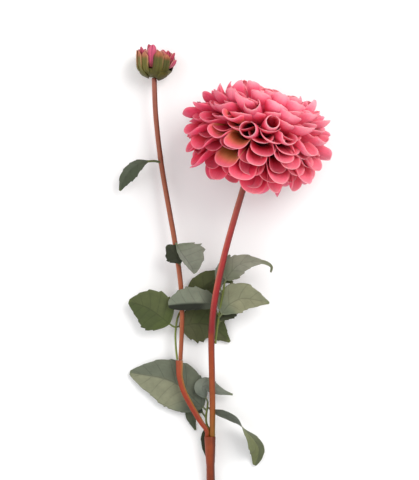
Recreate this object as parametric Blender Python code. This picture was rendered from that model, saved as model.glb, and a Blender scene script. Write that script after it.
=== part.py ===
"""A cut dahlia spray lying on a table: a full ball bloom, an opening bud, and leaves on three leaf stalks.

The spray lies on its back, as a cut flower is laid down. +Z is up and +Y runs from the cut end of the stem to the
flowers. Lengths in the tables are millimetres in the plant's own axes: X and Y are measured from the axis of the
main stem, one collar length below its fork, and Z = 0 is the table. place_on_origin() moves the finished spray so
that its box stands on the world's origin.

Run it with Blender 4.5: blender --background --python part.py
"""

from dataclasses import dataclass

import bmesh
import bpy
import numpy as np

MM = 0.001

# Fit
GAP = 0.3  # clearance left where two pieces meet

# Main stem, from the cut end to the collar that holds both flower stems
CUT_END = (0.8, -27.0, 3.8)
COLLAR_TOP = (-0.4, 38.7, 13.0)
MAIN_STEM_RADIUS = 3.75
COLLAR_HALF_WIDTH = 5.1
COLLAR_HALF_DEPTH = 4.6
COLLAR_LENGTH = 26.0

# Flower stems and leaf stalks
BLOOM_STEM_RADIUS = 2.85
BUD_STEM_RADIUS = 2.3
BUD_STEM_FOOT_RADIUS = 2.0
LEAF_STALK_RADIUS = 0.9
SLEEVE_RADIUS = 3.3
STEM_SIDES = 8
STALK_SIDES = 5

# Bloom: an oblate ball of petals on a small core
BLOOM_CENTRE = (43.0, 307.0, 53.5)
BLOOM_AXIS = (0.29, 0.953, 0.087)
BLOOM_ACROSS = 62.0  # ball radius square to the axis
BLOOM_ALONG = 49.0  # ball radius along the axis
CORE_ACROSS = 41.0  # the core that the petals stand on
CORE_ALONG = 28.0
CORE_ROWS = 8
CORE_FOOT = CORE_ALONG * np.cos(np.pi / CORE_ROWS)  # from its middle to its flat underside
BLOOM_PETALS = 130
BLOOM_SEED = 11
BLOOM_TURN = 0.9  # where the spiral of petals starts, radians
PETAL_HALF_WIDTH = 12.8
PETAL_THICKNESS = 0.8
BASE_AT = np.radians([0, 45, 90, 130, 163])  # where a petal stands on the receptacle, by its angle from the eye
BASE_HEIGHT = (2.0, -1.0, -9.0, -16.0, -20.0)
BASE_RADIUS = (1.0, 8.0, 13.0, 16.0, 15.0)
ROOT_SHARE = (0.5, 0.46, 0.4, 0.25, 0.15)  # how much of a petal is left out, hidden in the core
GOLDEN_ANGLE = np.pi * (3.0 - np.sqrt(5.0))
TABLE_PRESS = 6.0  # height over the table in which the petals bend flat
TABLE_SLOPE = 0.06  # how steep they stay under it, before they are cut off level

# Calyx under the bloom
CALYX_RADIUS = 9.0
CALYX_HEIGHT = 7.5
CALYX_BRACTS = 5

# Bud: a cup of sepals round a tuft of petals
BUD_BASE = (-50.4, 362.2, 18.9)
BUD_AXIS = (0.08, 1.0, 0.02)
BUD_SEPALS_AT = (-157, -133, -109, -85, -61, -36, 9, 32, 116, 138, 160, 181)  # degrees round from the upper side
BUD_FOOT = ((2.7, 0), (7.2, 0.5), (11.6, 2.6), (14.6, 6.0), (13.8, 7.4))  # (radius, height) of the cup's solid foot
BUD_SEPAL_LIFT = 0.6  # how far one edge of a sepal stands out over the next one
BUD_BRACTS = ((42, 0.0), (-62, 1.4))  # degrees round and how much higher they end
BUD_TUFT = (  # degrees round from the upper side, (radius, height) from foot to tip, half width
    (-13, ((12.6, 8.4), (15.2, 14), (16.6, 22.5), (15.2, 28)), 3.8),
    (-80, ((12, 10), (15.4, 17), (16.6, 23.4)), 2.8), (-54, ((12, 10), (15.4, 18), (16.2, 25.8)), 2.6),
    (-34, ((12, 10), (15.2, 17), (16, 22.8)), 2.8), (4, ((12, 10), (15.2, 17), (15.6, 23.8)), 3.8),
    (22, ((12, 10), (15.4, 17), (15.8, 23.4)), 3), (43, ((12, 9.4), (15.4, 17), (16.6, 23.8)), 3.4),
    (64, ((12, 9.4), (15.4, 16), (17.4, 22.8)), 3.2), (70, ((12.4, 8.6), (16.4, 11.4), (19, 16.6)), 4.2),
    (98, ((12.4, 8.6), (15.2, 13), (15.8, 22.8)), 4.2), (124, ((12, 10), (15.2, 18), (16, 23.6)), 3.4),
    (148, ((12, 10), (15.4, 18), (16, 24.6)), 3.4), (172, ((12, 10), (15.2, 18), (16, 23.8)), 3.4),
    (196, ((12, 10), (15.4, 18), (16, 24.4)), 3.4), (222, ((12, 10), (15.2, 18), (16, 23.6)), 3.6),
    (250, ((12, 10), (15.4, 18), (16, 24.4)), 3.8), (-24, ((7, 16), (12, 22.5), (12.6, 28.2)), 3.4),
    (36, ((7, 16), (11.5, 21), (10.5, 24.6)), 3.8), (108, ((7, 16), (11.5, 21), (11, 24.8)), 3.8),
    (180, ((7, 16), (11.5, 21), (10.5, 24.6)), 3.8), (252, ((7, 16), (11.5, 21), (10.8, 25)), 3.8),
)


@dataclass(frozen=True)
class Leaf:
    """One leaf: a toothed blade on a midrib that runs from its stalk to the tip, in millimetres and degrees."""

    name: str
    rib: tuple
    left: float  # widest half, left of the rib from above
    right: float
    lift_left: float  # how far each half rises out of the blade's plane, degrees
    lift_right: float
    roll: tuple  # turn of the blade about its rib at the base and at the tip, degrees; 0 faces up
    bare: float  # share of the rib that is bare stalk
    teeth: int
    carrier: str
    widest: float = 0.38  # where along the blade it is widest
    blunt: float = 1.0  # under 1 rounds the outline out at both ends
    taper: float = 0.3  # how much narrower it is towards the tip
    notch: float = 0.14  # depth of the teeth, as a share of the half width


LEAVES = (
    Leaf("leaf_upper_left", ((-43.6, 285.6, 19.5), (-51.3, 286.9, 24), (-62, 285, 27), (-71, 279, 25),
         (-77.4, 271, 18), (-81.9, 260.6, 9)), 7.5, 8.5, -25, -20, (-45, -20), 0.24, 5, "bud_stem_upper",
         0.45, taper=0.2),
    Leaf("leaf_bud_stem_dark", ((-27.6, 193.6, 18.1), (-27.4, 195.4, 24.6), (-30.2, 201, 25.6), (-35.6, 207.4, 24.2),
         (-39.6, 210.6, 21.6)), 9.5, 7.0, -12, -8, (0, 10), 0.24, 4, "bud_stem_upper", 0.5, blunt=0.7),
    Leaf("leaf_bud_stem_pale", ((-31.0, 213.4, 18.5), (-30.0, 211.6, 28.0), (-25.4, 203.6, 32), (-20.6, 197.0, 32.6),
         (-17.0, 191.6, 31), (-14.0, 186.0, 27)), 20.0, 3.5, -14, -20, (-12, 0), 0.24, 5, "bud_stem_upper",
         0.5, blunt=0.72, notch=0.15),
    Leaf("leaf_left_round", ((-31.2, 136.8, 12), (-36, 139.5, 13.5), (-46, 147.5, 16), (-57.6, 155.0, 15),
         (-74.0, 160.6, 11)), 18.5, 20.0, -8, 6, (0, 8), 0.14, 6, "leaf_stalk_left",
         0.45, blunt=0.72, notch=0.09),
    Leaf("leaf_behind_stems", ((-31.2, 136.8, 12), (-28.4, 137.8, 9), (-12.6, 140.2, 7), (0.9, 138.4, 6),
         (9.9, 130.6, 4.5), (18, 123.2, 2.4)), 16.0, 17.0, -3, -3, (0, 0), 0.08, 6, "leaf_stalk_left"),
    Leaf("leaf_top_dark", ((-23.4, 154.6, 7.5), (-12, 166, 9), (-1.5, 177, 11), (9, 181.5, 12), (20.7, 177.5, 9)),
         13.0, 12.5, -14, -10, (0, -8), 0.08, 5, "leaf_stalk_left", notch=0.06),
    Leaf("leaf_middle_folded", ((6.6, 149.5, 26.5), (3, 156.4, 24.5), (-3, 158.8, 24), (-12.6, 159.4, 26.4),
         (-24.3, 158.8, 27.4), (-38, 157.2, 23)), 8.0, 17.0, -44, -28, (0, 0), 0.14, 5, "leaf_stalk_right",
         0.55, blunt=0.48, notch=0.11),
    Leaf("leaf_upper_small", ((10.6, 168.0, 29.7), (8.5, 175, 26.6), (9.5, 189, 26.6), (17.5, 203, 27.5)),
         4.5, 8.0, -10, -10, (0, 0), 0.16, 4, "leaf_stalk_right", 0.5),
    Leaf("leaf_upper_right", ((12.6, 177.6, 30.6), (17.0, 185.4, 32.4), (23.8, 192.6, 35.4), (31, 195.8, 36.6),
         (40, 196.6, 35.4), (48.6, 195.9, 32), (54.6, 192.2, 28), (54.2, 187.0, 24)), 10.5, 9.5, -10, -12,
         (0, 0), 0.05, 6, "leaf_stalk_right", 0.3, blunt=0.9, taper=1.7),
    Leaf("leaf_right", ((7.2, 145.5, 26.6), (10.5, 150.0, 28.5), (17, 158.2, 29), (28, 163.4, 29), (40.5, 162.2, 27),
         (53, 159.3, 21)), 15.5, 12.0, -10, -12, (0, 0), 0.1, 5, "leaf_stalk_right", notch=0.1),
    Leaf("leaf_right_under", ((6.4, 139.0, 26.0), (11.5, 148, 22.5), (19, 155.0, 19.5), (27, 157, 17),
         (33.5, 155.6, 14)), 7.5, 9.0, -6, -12, (0, 0), 0.12, 5, "leaf_stalk_right", 0.5),
    Leaf("leaf_low_large", ((-3.0, 61.5, 10.4), (-9, 66.5, 8.2), (-18, 75, 7.0), (-29, 85.0, 7.0), (-44, 91.0, 7.4),
         (-59.4, 93.6, 6.2), (-73.6, 95.6, 3.2)), 24.5, 20.5, -3, -2, (0, 0), 0.06, 7, "leaf_stalk_low",
         0.45, blunt=0.72, notch=0.05),
    Leaf("leaf_low_pointed", ((-3.7, 54.5, 10), (-8.4, 60.5, 6), (-14.6, 62.4, 4), (-17.2, 58.2, 3),
         (-16.2, 51.2, 2.4), (-13.4, 43.0, 2)), 5.2, 5.6, -2, -2, (0, 0), 0.2, 3, "leaf_stalk_low",
         0.42, taper=0.5, notch=0.05),
    Leaf("leaf_low_arched", ((-2.3, 69.6, 11), (-5.2, 76, 12.2), (-7.2, 82.4, 13.2), (-3.6, 84.6, 13.6), (3.0, 81.2, 13.0),
         (9.2, 78.6, 11.6), (20.4, 76.0, 9)), 7.5, 4.5, -12, -14, (0, 0), 0.1, 4, "leaf_stalk_low",
         0.36, taper=0.6, notch=0.08),
    Leaf("leaf_low_right", ((-2.7, 64.8, 10.5), (4, 60.6, 11), (15.4, 57.0, 13.5), (24, 52.6, 15), (31.4, 44.4, 15),
         (39, 36, 13), (43.6, 28, 10), (43.4, 20, 6), (40.0, 11.0, 2.6)), 7.5, 12.0, -6, -10, (184, -10), 0.03, 6,
         "leaf_stalk_low", 0.62, blunt=0.68, notch=0.09),
    Leaf("leaf_behind_collar", ((-3.6, 49.5, 10), (-5.0, 43, 6.4), (-5.0, 34, 5.2), (-4.2, 25, 4.2), (-2.6, 17, 3.6)),
         2.4, 3.0, -3, -3, (0, 0), 0.2, 3, "leaf_stalk_low"),
)

STALKS = {
    "leaf_stalk_low": ((-2.4, 47.5, 10.0), (-3.7, 51, 10), (-3.9, 57, 10.2), (-2.7, 64.8, 10.5),
                       (-2.3, 69.6, 11)),
    "leaf_stalk_left": ((-29.9, 107.7, 14), (-31, 117, 13.4), (-31.6, 128, 12.6), (-31.2, 136.8, 12),
                        (-29.7, 145.8, 10), (-26.8, 151.6, 8), (-23.4, 154.6, 7.5)),
    "leaf_stalk_right": ((4.5, 123.0, 25.2), (5.3, 130, 25.4), (6.4, 139, 26.0), (7.8, 148.5, 27), (9.7, 160.2, 28.6),
                         (11.7, 170.8, 30), (12.6, 177.6, 30.6)),
}

BLOOM_STEM_FOOT = 2.25  # how far right of the collar's middle it stands
BLOOM_STEM_PATH = ((1.8, 72, 18), (1.3, 99, 22.4), (0.9, 121.5, 26.2), (1.4, 139.5, 29.3), (3.2, 157.5, 32.4),
                   (6.3, 175.5, 35.2), (11.7, 199.8, 39.2), (18.9, 226.8, 43.6), (27.4, 256.0, 48.2))
BUD_STEM_FOOT = -2.7
BUD_STEM_LOWER_PATH = ((-8.6, 51.6, 13.4), (-16.7, 65.1, 13.6),
                       (-24.1, 79.5, 14), (-27.6, 91.9, 14.2), (-28.0, 99.5, 14.3), (-28.0, 107.4, 14.4))
BUD_STEM_UPPER_PATH = ((-27.0, 107.7, 14.4), (-26.9, 112, 14.5), (-26.4, 121.5, 14.9), (-25.6, 147.6, 16.2),
                       (-27.0, 178.2, 17.6), (-32.1, 214.7, 18.6), (-37.6, 245.7, 19), (-44.5, 286.2, 19),
                       (-49.2, 328, 18.8), (-50.6, 361.9, 18.8))


def clear_scene():
    """Removes every object that the file opens with."""
    for obj in list(bpy.data.objects):
        bpy.data.objects.remove(obj)


def material(name, colour, roughness, metallic=0.0):
    """A Principled BSDF of one colour."""
    made = bpy.data.materials.new(name)
    made.use_nodes = True
    shader = made.node_tree.nodes["Principled BSDF"]
    shader.inputs["Base Color"].default_value = (*colour, 1.0)
    shader.inputs["Roughness"].default_value = roughness
    shader.inputs["Metallic"].default_value = metallic
    return made


def unit(vector):
    """The vector or rows of vectors at length one."""
    vector = np.asarray(vector, float)
    return vector / np.linalg.norm(vector, axis=-1, keepdims=True)


def smooth_curve(points, shares):
    """Points at these shares of the length of a Catmull-Rom curve through the given points."""
    given = np.asarray(points, float)
    padded = np.vstack([2 * given[0] - given[1], given, 2 * given[-1] - given[-2]])
    t = np.linspace(0, 1, 24, endpoint=False)[:, None]
    pieces = [
        0.5 * (2 * b + (c - a) * t + (2 * a - 5 * b + 4 * c - d) * t**2 + (3 * b - a - 3 * c + d) * t**3)
        for a, b, c, d in zip(padded, padded[1:], padded[2:], padded[3:])
    ]
    fine = np.vstack([*pieces, given[-1:]])
    length = np.r_[0, np.cumsum(np.linalg.norm(np.diff(fine, axis=0), axis=1))]
    at = np.asarray(shares) * length[-1]
    return np.column_stack([np.interp(at, length, fine[:, k]) for k in range(3)])


def new_object(name, points, faces, finish):
    """A mesh object from points in millimetres, with its faces turned outwards."""
    mesh = bpy.data.meshes.new(name)
    mesh.from_pydata((np.asarray(points) * MM).tolist(), [], [list(map(int, f)) for f in faces])
    work = bmesh.new()
    work.from_mesh(mesh)
    bmesh.ops.recalc_face_normals(work, faces=work.faces)
    work.to_mesh(mesh)
    work.free()
    mesh.materials.append(finish)
    made = bpy.data.objects.new(name, mesh)
    bpy.context.scene.collection.objects.link(made)
    return made


def loft(name, rings, finish):
    """A closed solid through rings of points, shape (rings, sides, 3), with flat ends."""
    count, sides = rings.shape[:2]
    index = np.arange(count * sides).reshape(count, sides)
    ahead = np.roll(index, -1, axis=1)
    walls = np.stack([index[:-1], ahead[:-1], ahead[1:], index[1:]], -1).reshape(-1, 4)
    faces = [*walls, index[0][::-1], index[-1]]
    made = new_object(name, rings.reshape(-1, 3), faces, finish)
    made.data.shade_smooth()
    made.data.set_sharp_from_angle(angle=np.radians(40))
    return made


def curve_tangents(points, shares):
    """Directions of the same curve at the same shares of its length."""
    ahead = smooth_curve(points, np.clip(shares + 0.002, 0, 1))
    return unit(ahead - smooth_curve(points, np.clip(shares - 0.002, 0, 1)))


def tube_rings(path, tangents, radii, sides):
    """Rings square to a path, each turned as little as possible from the one before."""
    normal = unit(np.cross(tangents[0], (0.0, 0.0, 1.0)))
    angle = np.linspace(0, 2 * np.pi, sides, endpoint=False)[:, None]
    rings = []
    for point, tangent, radius in zip(path, tangents, radii):
        normal = unit(normal - tangent * np.dot(normal, tangent))
        other = np.cross(tangent, normal)
        rings.append(point + radius * (np.cos(angle) * normal + np.sin(angle) * other))
    return np.array(rings)


def stem(name, points, radii, finish, rings=18, sides=STEM_SIDES):
    """A round stem along a smooth curve; radii are spread evenly along it."""
    shares = np.linspace(0, 1, rings)
    spread = np.interp(shares, np.linspace(0, 1, len(radii)), radii)
    return loft(name, tube_rings(smooth_curve(points, shares), curve_tangents(points, shares), spread, sides), finish)


def main_stem(finish):
    """The lower stem: round from its cut end, then an oval collar whose flat top carries both flower stems."""
    top = np.array(COLLAR_TOP)
    foot = np.array(CUT_END)
    shares = np.array([0, 0.3, 0.55, 0.68, 0.8, 0.9, 1.0])
    path = foot + (top - foot) * shares[:, None]
    up = unit(np.cross((1.0, 0.0, 0.0), top - foot))
    along = np.linalg.norm(path - top, axis=1)
    swell = np.clip(1 - along / COLLAR_LENGTH, 0, 1) ** 0.7
    half_width = MAIN_STEM_RADIUS + (COLLAR_HALF_WIDTH - MAIN_STEM_RADIUS) * swell
    half_depth = MAIN_STEM_RADIUS + (COLLAR_HALF_DEPTH - MAIN_STEM_RADIUS) * swell
    angle = np.linspace(0, 2 * np.pi, 12, endpoint=False)[:, None]
    across = half_width[:, None, None] * np.cos(angle) * (1.0, 0.0, 0.0)
    rings = path[:, None] + across + half_depth[:, None, None] * np.sin(angle) * up
    rings[0, :, 2] -= rings[0, :, 2].min()
    return loft("main_stem", rings, finish)


def on_collar(right, up=0.0):
    """Two points that start a stem straight out of the collar's top face, one gap above it."""
    along = unit(np.array(COLLAR_TOP) - CUT_END)
    start = np.array(COLLAR_TOP) + along * GAP + (right, 0, 0) + unit(np.cross((1.0, 0.0, 0.0), along)) * up
    return start, start + along * 5


def bloom_foot():
    """Two points that end the bloom stem straight under the calyx, one gap below it."""
    end = np.array(BLOOM_CENTRE) - unit(BLOOM_AXIS) * (CORE_FOOT + GAP + CALYX_HEIGHT + GAP)
    return end - unit(BLOOM_AXIS) * 6, end


def sheet_faces(rows, columns):
    """Triangles of a closed sheet: a grid of points, the same grid again behind it, and the rim between."""
    count = rows * columns
    index = np.arange(count).reshape(rows, columns)
    a, b, c, d = index[:-1, :-1], index[1:, :-1], index[1:, 1:], index[:-1, 1:]
    front = np.concatenate([np.stack([a, b, c], -1).reshape(-1, 3), np.stack([a, c, d], -1).reshape(-1, 3)])
    rim = np.concatenate([index[0], index[1:, -1], index[-1, -2::-1], index[-2:0:-1, 0]])
    ahead = np.roll(rim, -1)
    sides = np.concatenate([np.stack([rim, ahead, ahead + count], -1), np.stack([rim, ahead + count, rim + count], -1)])
    return np.concatenate([front, front[:, ::-1] + count, sides])


def sheet(name, grid, thickness, finish):
    """A closed blade round a grid of points, with this thickness at each point or all over."""
    normal = unit(np.cross(np.gradient(grid, axis=0), np.gradient(grid, axis=1)))
    half = 0.5 * np.broadcast_to(thickness, grid.shape[:2])[..., None] * normal
    points = np.concatenate([(grid + half).reshape(-1, 3), (grid - half).reshape(-1, 3)])
    return new_object(name, points, sheet_faces(*grid.shape[:2]), finish)


def leaf_grid(leaf):
    """The leaf's middle surface and its thickness.

    The outline is ovate, a sine of a power of s from stalk to tip, with teeth that rise slowly and step back.
    """
    step = 1.0 / leaf.teeth
    tips = np.arange(1, leaf.teeth) * step
    s = np.sort(np.r_[0.0, 0.3 * step, tips, tips + 0.3 * step, 0.985])
    toothed = 1 + leaf.notch * np.where(np.isin(s, tips), 0.57, -0.43)
    outline = np.sin(np.pi * s ** (np.log(0.5) / np.log(leaf.widest))) ** leaf.blunt
    outline = outline * np.maximum(1 - leaf.taper * s**2, 0.2) * toothed
    shares = np.r_[0.0, leaf.bare * 0.5, leaf.bare + (1 - leaf.bare) * s]
    outline = np.r_[0.0, 0.0, outline]
    path = smooth_curve(leaf.rib, shares)
    tangent = curve_tangents(leaf.rib, shares)
    right = unit(np.cross(tangent, (0.0, 0.0, 1.0)))
    up = np.cross(right, tangent)
    roll = np.radians(leaf.roll[0] + (leaf.roll[1] - leaf.roll[0]) * shares)[:, None]
    right, up = right * np.cos(roll) + up * np.sin(roll), up * np.cos(roll) - right * np.sin(roll)
    across = np.array([-1.0, 0.0, 1.0])
    half_width = np.where(across < 0, leaf.left, leaf.right) * outline[:, None] + 0.8
    lift = np.radians(np.where(across < 0, leaf.lift_left, leaf.lift_right))
    reach = (np.abs(across) * half_width)[..., None]
    side = np.sign(across)[None, :, None]
    fold = lift[None, :, None] * np.clip(outline, 0, 1)[:, None, None]
    grid = path[:, None] + reach * (side * np.cos(fold) * right[:, None] + np.sin(fold) * up[:, None])
    bare = np.clip(outline * 6, 0, 1)[:, None]
    thickness = (1 - bare) * 1.5 + bare * np.where(across == 0, 1.2, 0.7)
    return grid, thickness


def cut_clear(obj, cutter):
    """Cuts a piece back from a cutter that is one gap larger than its neighbour."""
    modifier = obj.modifiers.new("clear_of_carrier", "BOOLEAN")
    modifier.operation = "DIFFERENCE"
    modifier.solver = "EXACT"
    modifier.object = cutter


def as_cutter(obj):
    """Keeps a helper out of the finished model."""
    obj.hide_render = True
    obj.display_type = "WIRE"
    return obj


def ball_frame(axis):
    """Unit vectors along an axis and two square to it, the first of them pointing up as far as it can."""
    a = unit(axis)
    e1 = unit(np.array((0.0, 0.0, 1.0)) - a * a[2])
    return a, e1, np.cross(a, e1)


@dataclass(frozen=True)
class Petal:
    """One petal of a ball bloom: where its tip lies on the ball, and how it leans, rolls and cups."""

    polar: float
    azimuth: float
    reach: float
    half_width: float
    cup: float
    roll: float
    yaw: float


def bloom_petals():
    """The petals from the eye to the stem: golden-angle steps, spaced by petal size over the ball."""
    rng = np.random.default_rng(BLOOM_SEED)
    polar = np.radians(np.linspace(3, 163, 600))
    crowd = np.cumsum((0.18 + np.sin(polar)) / petal_scale(polar) ** 2)
    share = (np.arange(BLOOM_PETALS) + 0.5) / BLOOM_PETALS
    jitter = rng.uniform(-1, 1, (BLOOM_PETALS, 6))
    petals = []
    for k, (theta, shift) in enumerate(zip(np.interp(share, crowd / crowd[-1], polar), jitter)):
        petals.append(Petal(
            polar=theta + np.radians(3.5) * shift[0],
            azimuth=BLOOM_TURN + GOLDEN_ANGLE * k + 0.10 * shift[1],
            reach=np.interp(theta, np.radians([0, 35, 120, 163]), [0.84, 1.0, 1.0, 1.04]) * (1 + 0.04 * shift[2]),
            half_width=PETAL_HALF_WIDTH * petal_scale(theta) * (1 + 0.12 * shift[3]),
            cup=np.radians(np.interp(theta, np.radians([0, 55, 95, 163]), [105, 88, 68, 50]) + 14 * shift[4]),
            roll=np.radians(13) * shift[5],
            yaw=0.12 * shift[0] * shift[5],
        ))
    return petals


def petal_scale(polar):
    """Petal size by angle from the eye, as a share of the largest."""
    return np.interp(polar, np.radians([0, 20, 50, 85]), [0.42, 0.6, 0.88, 1.0])


def petal_width(u):
    """Width along a petal as a share of its widest: narrow at the foot, round at the tip."""
    cap = np.clip((u - 0.70) / 0.30, 0, 1)
    return np.sin(0.5 * np.pi * np.clip(u / 0.70, 0, 1)) ** 0.8 * np.sqrt(1 - cap**2.2 * 0.97)


def petal_grid(petal, u, v):
    """The middle surface of a bloom petal at shares u of its length and v, from -1 to 1, across it at each of them.

    The midline is a quadratic Bezier from the receptacle to the tip, whose end leans back towards the stem. Square
    to it the petal is an arc that opens towards the eye.
    """
    a, e1, e2 = ball_frame(BLOOM_AXIS)
    out = np.cos(petal.azimuth) * e1 + np.sin(petal.azimuth) * e2
    round_ = np.cross(a, out)
    theta = petal.polar
    base = a * np.interp(theta, BASE_AT, BASE_HEIGHT) + out * np.interp(theta, BASE_AT, BASE_RADIUS)
    tip = petal.reach * (a * BLOOM_ALONG * np.cos(theta) + out * BLOOM_ACROSS * np.sin(theta))
    lean = theta + np.radians(np.interp(theta, np.radians([0, 60, 90, 120, 163]), [0, 8, 20, 34, 22]))
    heading = unit(a * np.cos(lean) + out * np.sin(lean) + round_ * petal.yaw)
    turn = tip - heading * 0.55 * np.linalg.norm(tip - base)
    u = np.asarray(u, float)[:, None, None]
    v = np.asarray(v, float)[..., None]
    middle = (1 - u) ** 2 * base + 2 * u * (1 - u) * turn + u**2 * tip
    tangent = unit((1 - u) * (turn - base) + u * (tip - turn))
    side = unit(round_ - tangent * np.sum(tangent * round_, axis=-1, keepdims=True))
    face = np.cross(tangent, side)
    side, face = (side * np.cos(petal.roll) + face * np.sin(petal.roll),
                  face * np.cos(petal.roll) - side * np.sin(petal.roll))
    half = petal.half_width * petal_width(u) + 0.5
    cup = petal.cup * (1.15 - 0.35 * u)
    grid = middle + half / cup * (np.sin(cup * v) * side + (1 - np.cos(cup * v)) * face)
    grid = grid + np.array(BLOOM_CENTRE)
    grid[..., 2] = pressed_height(grid[..., 2])
    return grid


def pressed_height(z):
    """Heights near the table after it has bent the petals: eased to the table, and all but level under it."""
    eased = (z + TABLE_PRESS) ** 2 / (4 * TABLE_PRESS)
    return np.where(z > TABLE_PRESS, z, np.where(z > -TABLE_PRESS, eased, TABLE_SLOPE * (z + TABLE_PRESS)))


def ellipsoid(name, centre, axis, along, across, finish, rows=CORE_ROWS, columns=12):
    """A closed egg shape of rings round an axis."""
    a, e1, e2 = ball_frame(axis)
    polar = np.linspace(0, np.pi, rows + 1)[1:-1, None, None]
    turn = np.linspace(0, 2 * np.pi, columns, endpoint=False)[None, :, None]
    rings = np.array(centre) + along * np.cos(polar) * a + across * np.sin(polar) * (np.cos(turn) * e1 + np.sin(turn) * e2)
    return loft(name, rings, finish)


def combine(obj, others, operation="UNION"):
    """Joins the other objects to this one as one body, or cuts them from it, and removes them."""
    group = bpy.data.collections.new(obj.name + "_pieces")
    bpy.context.scene.collection.children.link(group)
    for other in others:
        bpy.context.scene.collection.objects.unlink(other)
        group.objects.link(other)
    modifier = obj.modifiers.new("combine", "BOOLEAN")
    modifier.operation = operation
    modifier.solver = "MANIFOLD"
    modifier.operand_type = "COLLECTION"
    modifier.collection = group
    apply_modifiers(obj)
    for other in others:
        bpy.data.objects.remove(other)
    bpy.data.collections.remove(group)
    keep_outer_skin(obj)


def keep_outer_skin(obj):
    """Fills the pockets closed in by the blades: only the largest skin of the mesh is kept."""
    work = bmesh.new()
    work.from_mesh(obj.data)
    left = set(work.verts)
    skins = []
    while left:
        skin, front = set(), {left.pop()}
        while front:
            skin |= front
            front = {e.other_vert(v) for v in front for e in v.link_edges} - skin
        left -= skin
        skins.append(skin)
    outer = max(skins, key=len)
    bmesh.ops.delete(work, geom=[v for v in work.verts if v not in outer], context="VERTS")
    work.to_mesh(obj.data)
    work.free()


def apply_modifiers(obj):
    """Replaces an object's mesh by what its modifiers make of it."""
    bpy.context.view_layer.update()
    graph = bpy.context.evaluated_depsgraph_get()
    finished = bpy.data.meshes.new_from_object(obj.evaluated_get(graph))
    obj.modifiers.clear()
    obj.data = finished


def press_flat(obj):
    """Cuts a piece off level with the table, at Z = 0."""
    low = np.array([vertex.co for vertex in obj.data.vertices]).min(axis=0) / MM - 5
    high = np.array([vertex.co for vertex in obj.data.vertices]).max(axis=0) / MM + 5
    ring = np.array([(low[0], low[1]), (high[0], low[1]), (high[0], high[1]), (low[0], high[1])])
    block = np.array([np.column_stack([ring, np.full(4, z)]) for z in (low[2] - 5, 0.0)])
    combine(obj, [loft("table_cutter", block, obj.data.materials[0])], "DIFFERENCE")


def bloom(finish):
    """Every petal of the ball, fused to a smaller core that they stand out of."""
    core = ellipsoid("bloom", BLOOM_CENTRE, BLOOM_AXIS, CORE_ALONG, CORE_ACROSS, finish)
    petals = []
    for k, petal in enumerate(bloom_petals()):
        root = np.interp(petal.polar, BASE_AT, ROOT_SHARE)
        along, spread = ((root, 0.8, 0.98), (0.4, 1.0, 1.0)) if petal.polar < 0.9 else (
            (root, 0.68, 0.89, 1.0), (0.4, 0.9, 1.0, 1.0))
        grid = petal_grid(petal, along, np.outer(spread, (-1.0, 0.0, 1.0)))
        petals.append(sheet(f"petal_{k}", grid, PETAL_THICKNESS, finish))
    combine(core, petals)
    press_flat(core)
    return core


def axis_profile(base, axis, azimuth, profile):
    """Points (radius, height) of a profile, carried to their place round an axis."""
    a, e1, e2 = ball_frame(axis)
    out = np.cos(azimuth) * e1 + np.sin(azimuth) * e2
    profile = np.asarray(profile, float)
    return np.array(base) + profile[:, :1] * out + profile[:, 1:] * a


def wrapped_blade(name, base, axis, azimuth, profile, half_widths, thickness, finish, lift=0.0):
    """A blade whose midline follows a profile and whose width wraps round the axis, one edge lifted outward."""
    a, e1, e2 = ball_frame(axis)
    profile = np.asarray(profile, float)
    radius = np.maximum(profile[:, 0], 2.5)[:, None]
    v = np.linspace(-1, 1, 3)[None, :]
    angle = (azimuth + np.asarray(half_widths)[:, None] * v / radius)[..., None]
    out = np.cos(angle) * e1 + np.sin(angle) * e2
    grid = np.array(base) + (profile[:, :1] + lift * v)[..., None] * out + profile[:, 1, None, None] * a
    return sheet(name, grid, thickness, finish)


def turned(name, base, axis, profile, finish, sides=12):
    """A solid turned from a profile of (radius, height) points, with flat ends."""
    rings = np.stack([axis_profile(base, axis, t, profile) for t in np.linspace(0, 2 * np.pi, sides, endpoint=False)], 1)
    return loft(name, rings, finish)


def bloom_calyx(finish):
    """The green receptacle under the bloom, with a ring of bracts lying back from it."""
    a = unit(BLOOM_AXIS)
    base = np.array(BLOOM_CENTRE) - a * (CORE_FOOT + GAP + CALYX_HEIGHT)
    profile = ((BLOOM_STEM_RADIUS + 0.6, 0), (5.5, 1.5), (7.6, 4.2), (CALYX_RADIUS * 0.8, CALYX_HEIGHT))
    cup = turned("bloom_calyx", base, BLOOM_AXIS, profile, finish, sides=12)
    turns = np.arange(CALYX_BRACTS) * 2 * np.pi / CALYX_BRACTS
    bracts = [
        wrapped_blade(f"bract_{k}", base, BLOOM_AXIS, turn, ((5.5, 3.6), (9.0, 2.4), (10.4, -2.2)),
                      (2.6, 3.4, 0.7), 0.9, finish)
        for k, turn in enumerate(turns)
    ]
    combine(cup, bracts)
    return cup


def bud_calyx(finish):
    """The bud's green cup: a small solid foot, sepals that rise from it round two open places, and two bracts."""
    foot = turned("bud_calyx", BUD_BASE, BUD_AXIS, BUD_FOOT, finish)
    profile = ((9.6, 1.8), (15.4, 6.6), (17.2, 14.5), (17.6, 21.6))
    sepals = [
        wrapped_blade(f"sepal_{k}", BUD_BASE, BUD_AXIS, np.radians(at), profile, (3.0, 4.3, 4.3, 2.2), 1.0, finish,
                      lift=BUD_SEPAL_LIFT)
        for k, at in enumerate(BUD_SEPALS_AT)
    ]
    bracts = [
        wrapped_blade(f"bract_{k}", BUD_BASE, BUD_AXIS, np.radians(at), ((14.2, 6.0), (11.0, 1.2), (5.8, up - 2.4)),
                      (3.6, 5.0, 0.8), 0.9, finish)
        for k, (at, up) in enumerate(BUD_BRACTS)
    ]
    combine(foot, sepals + bracts)
    return foot


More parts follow.
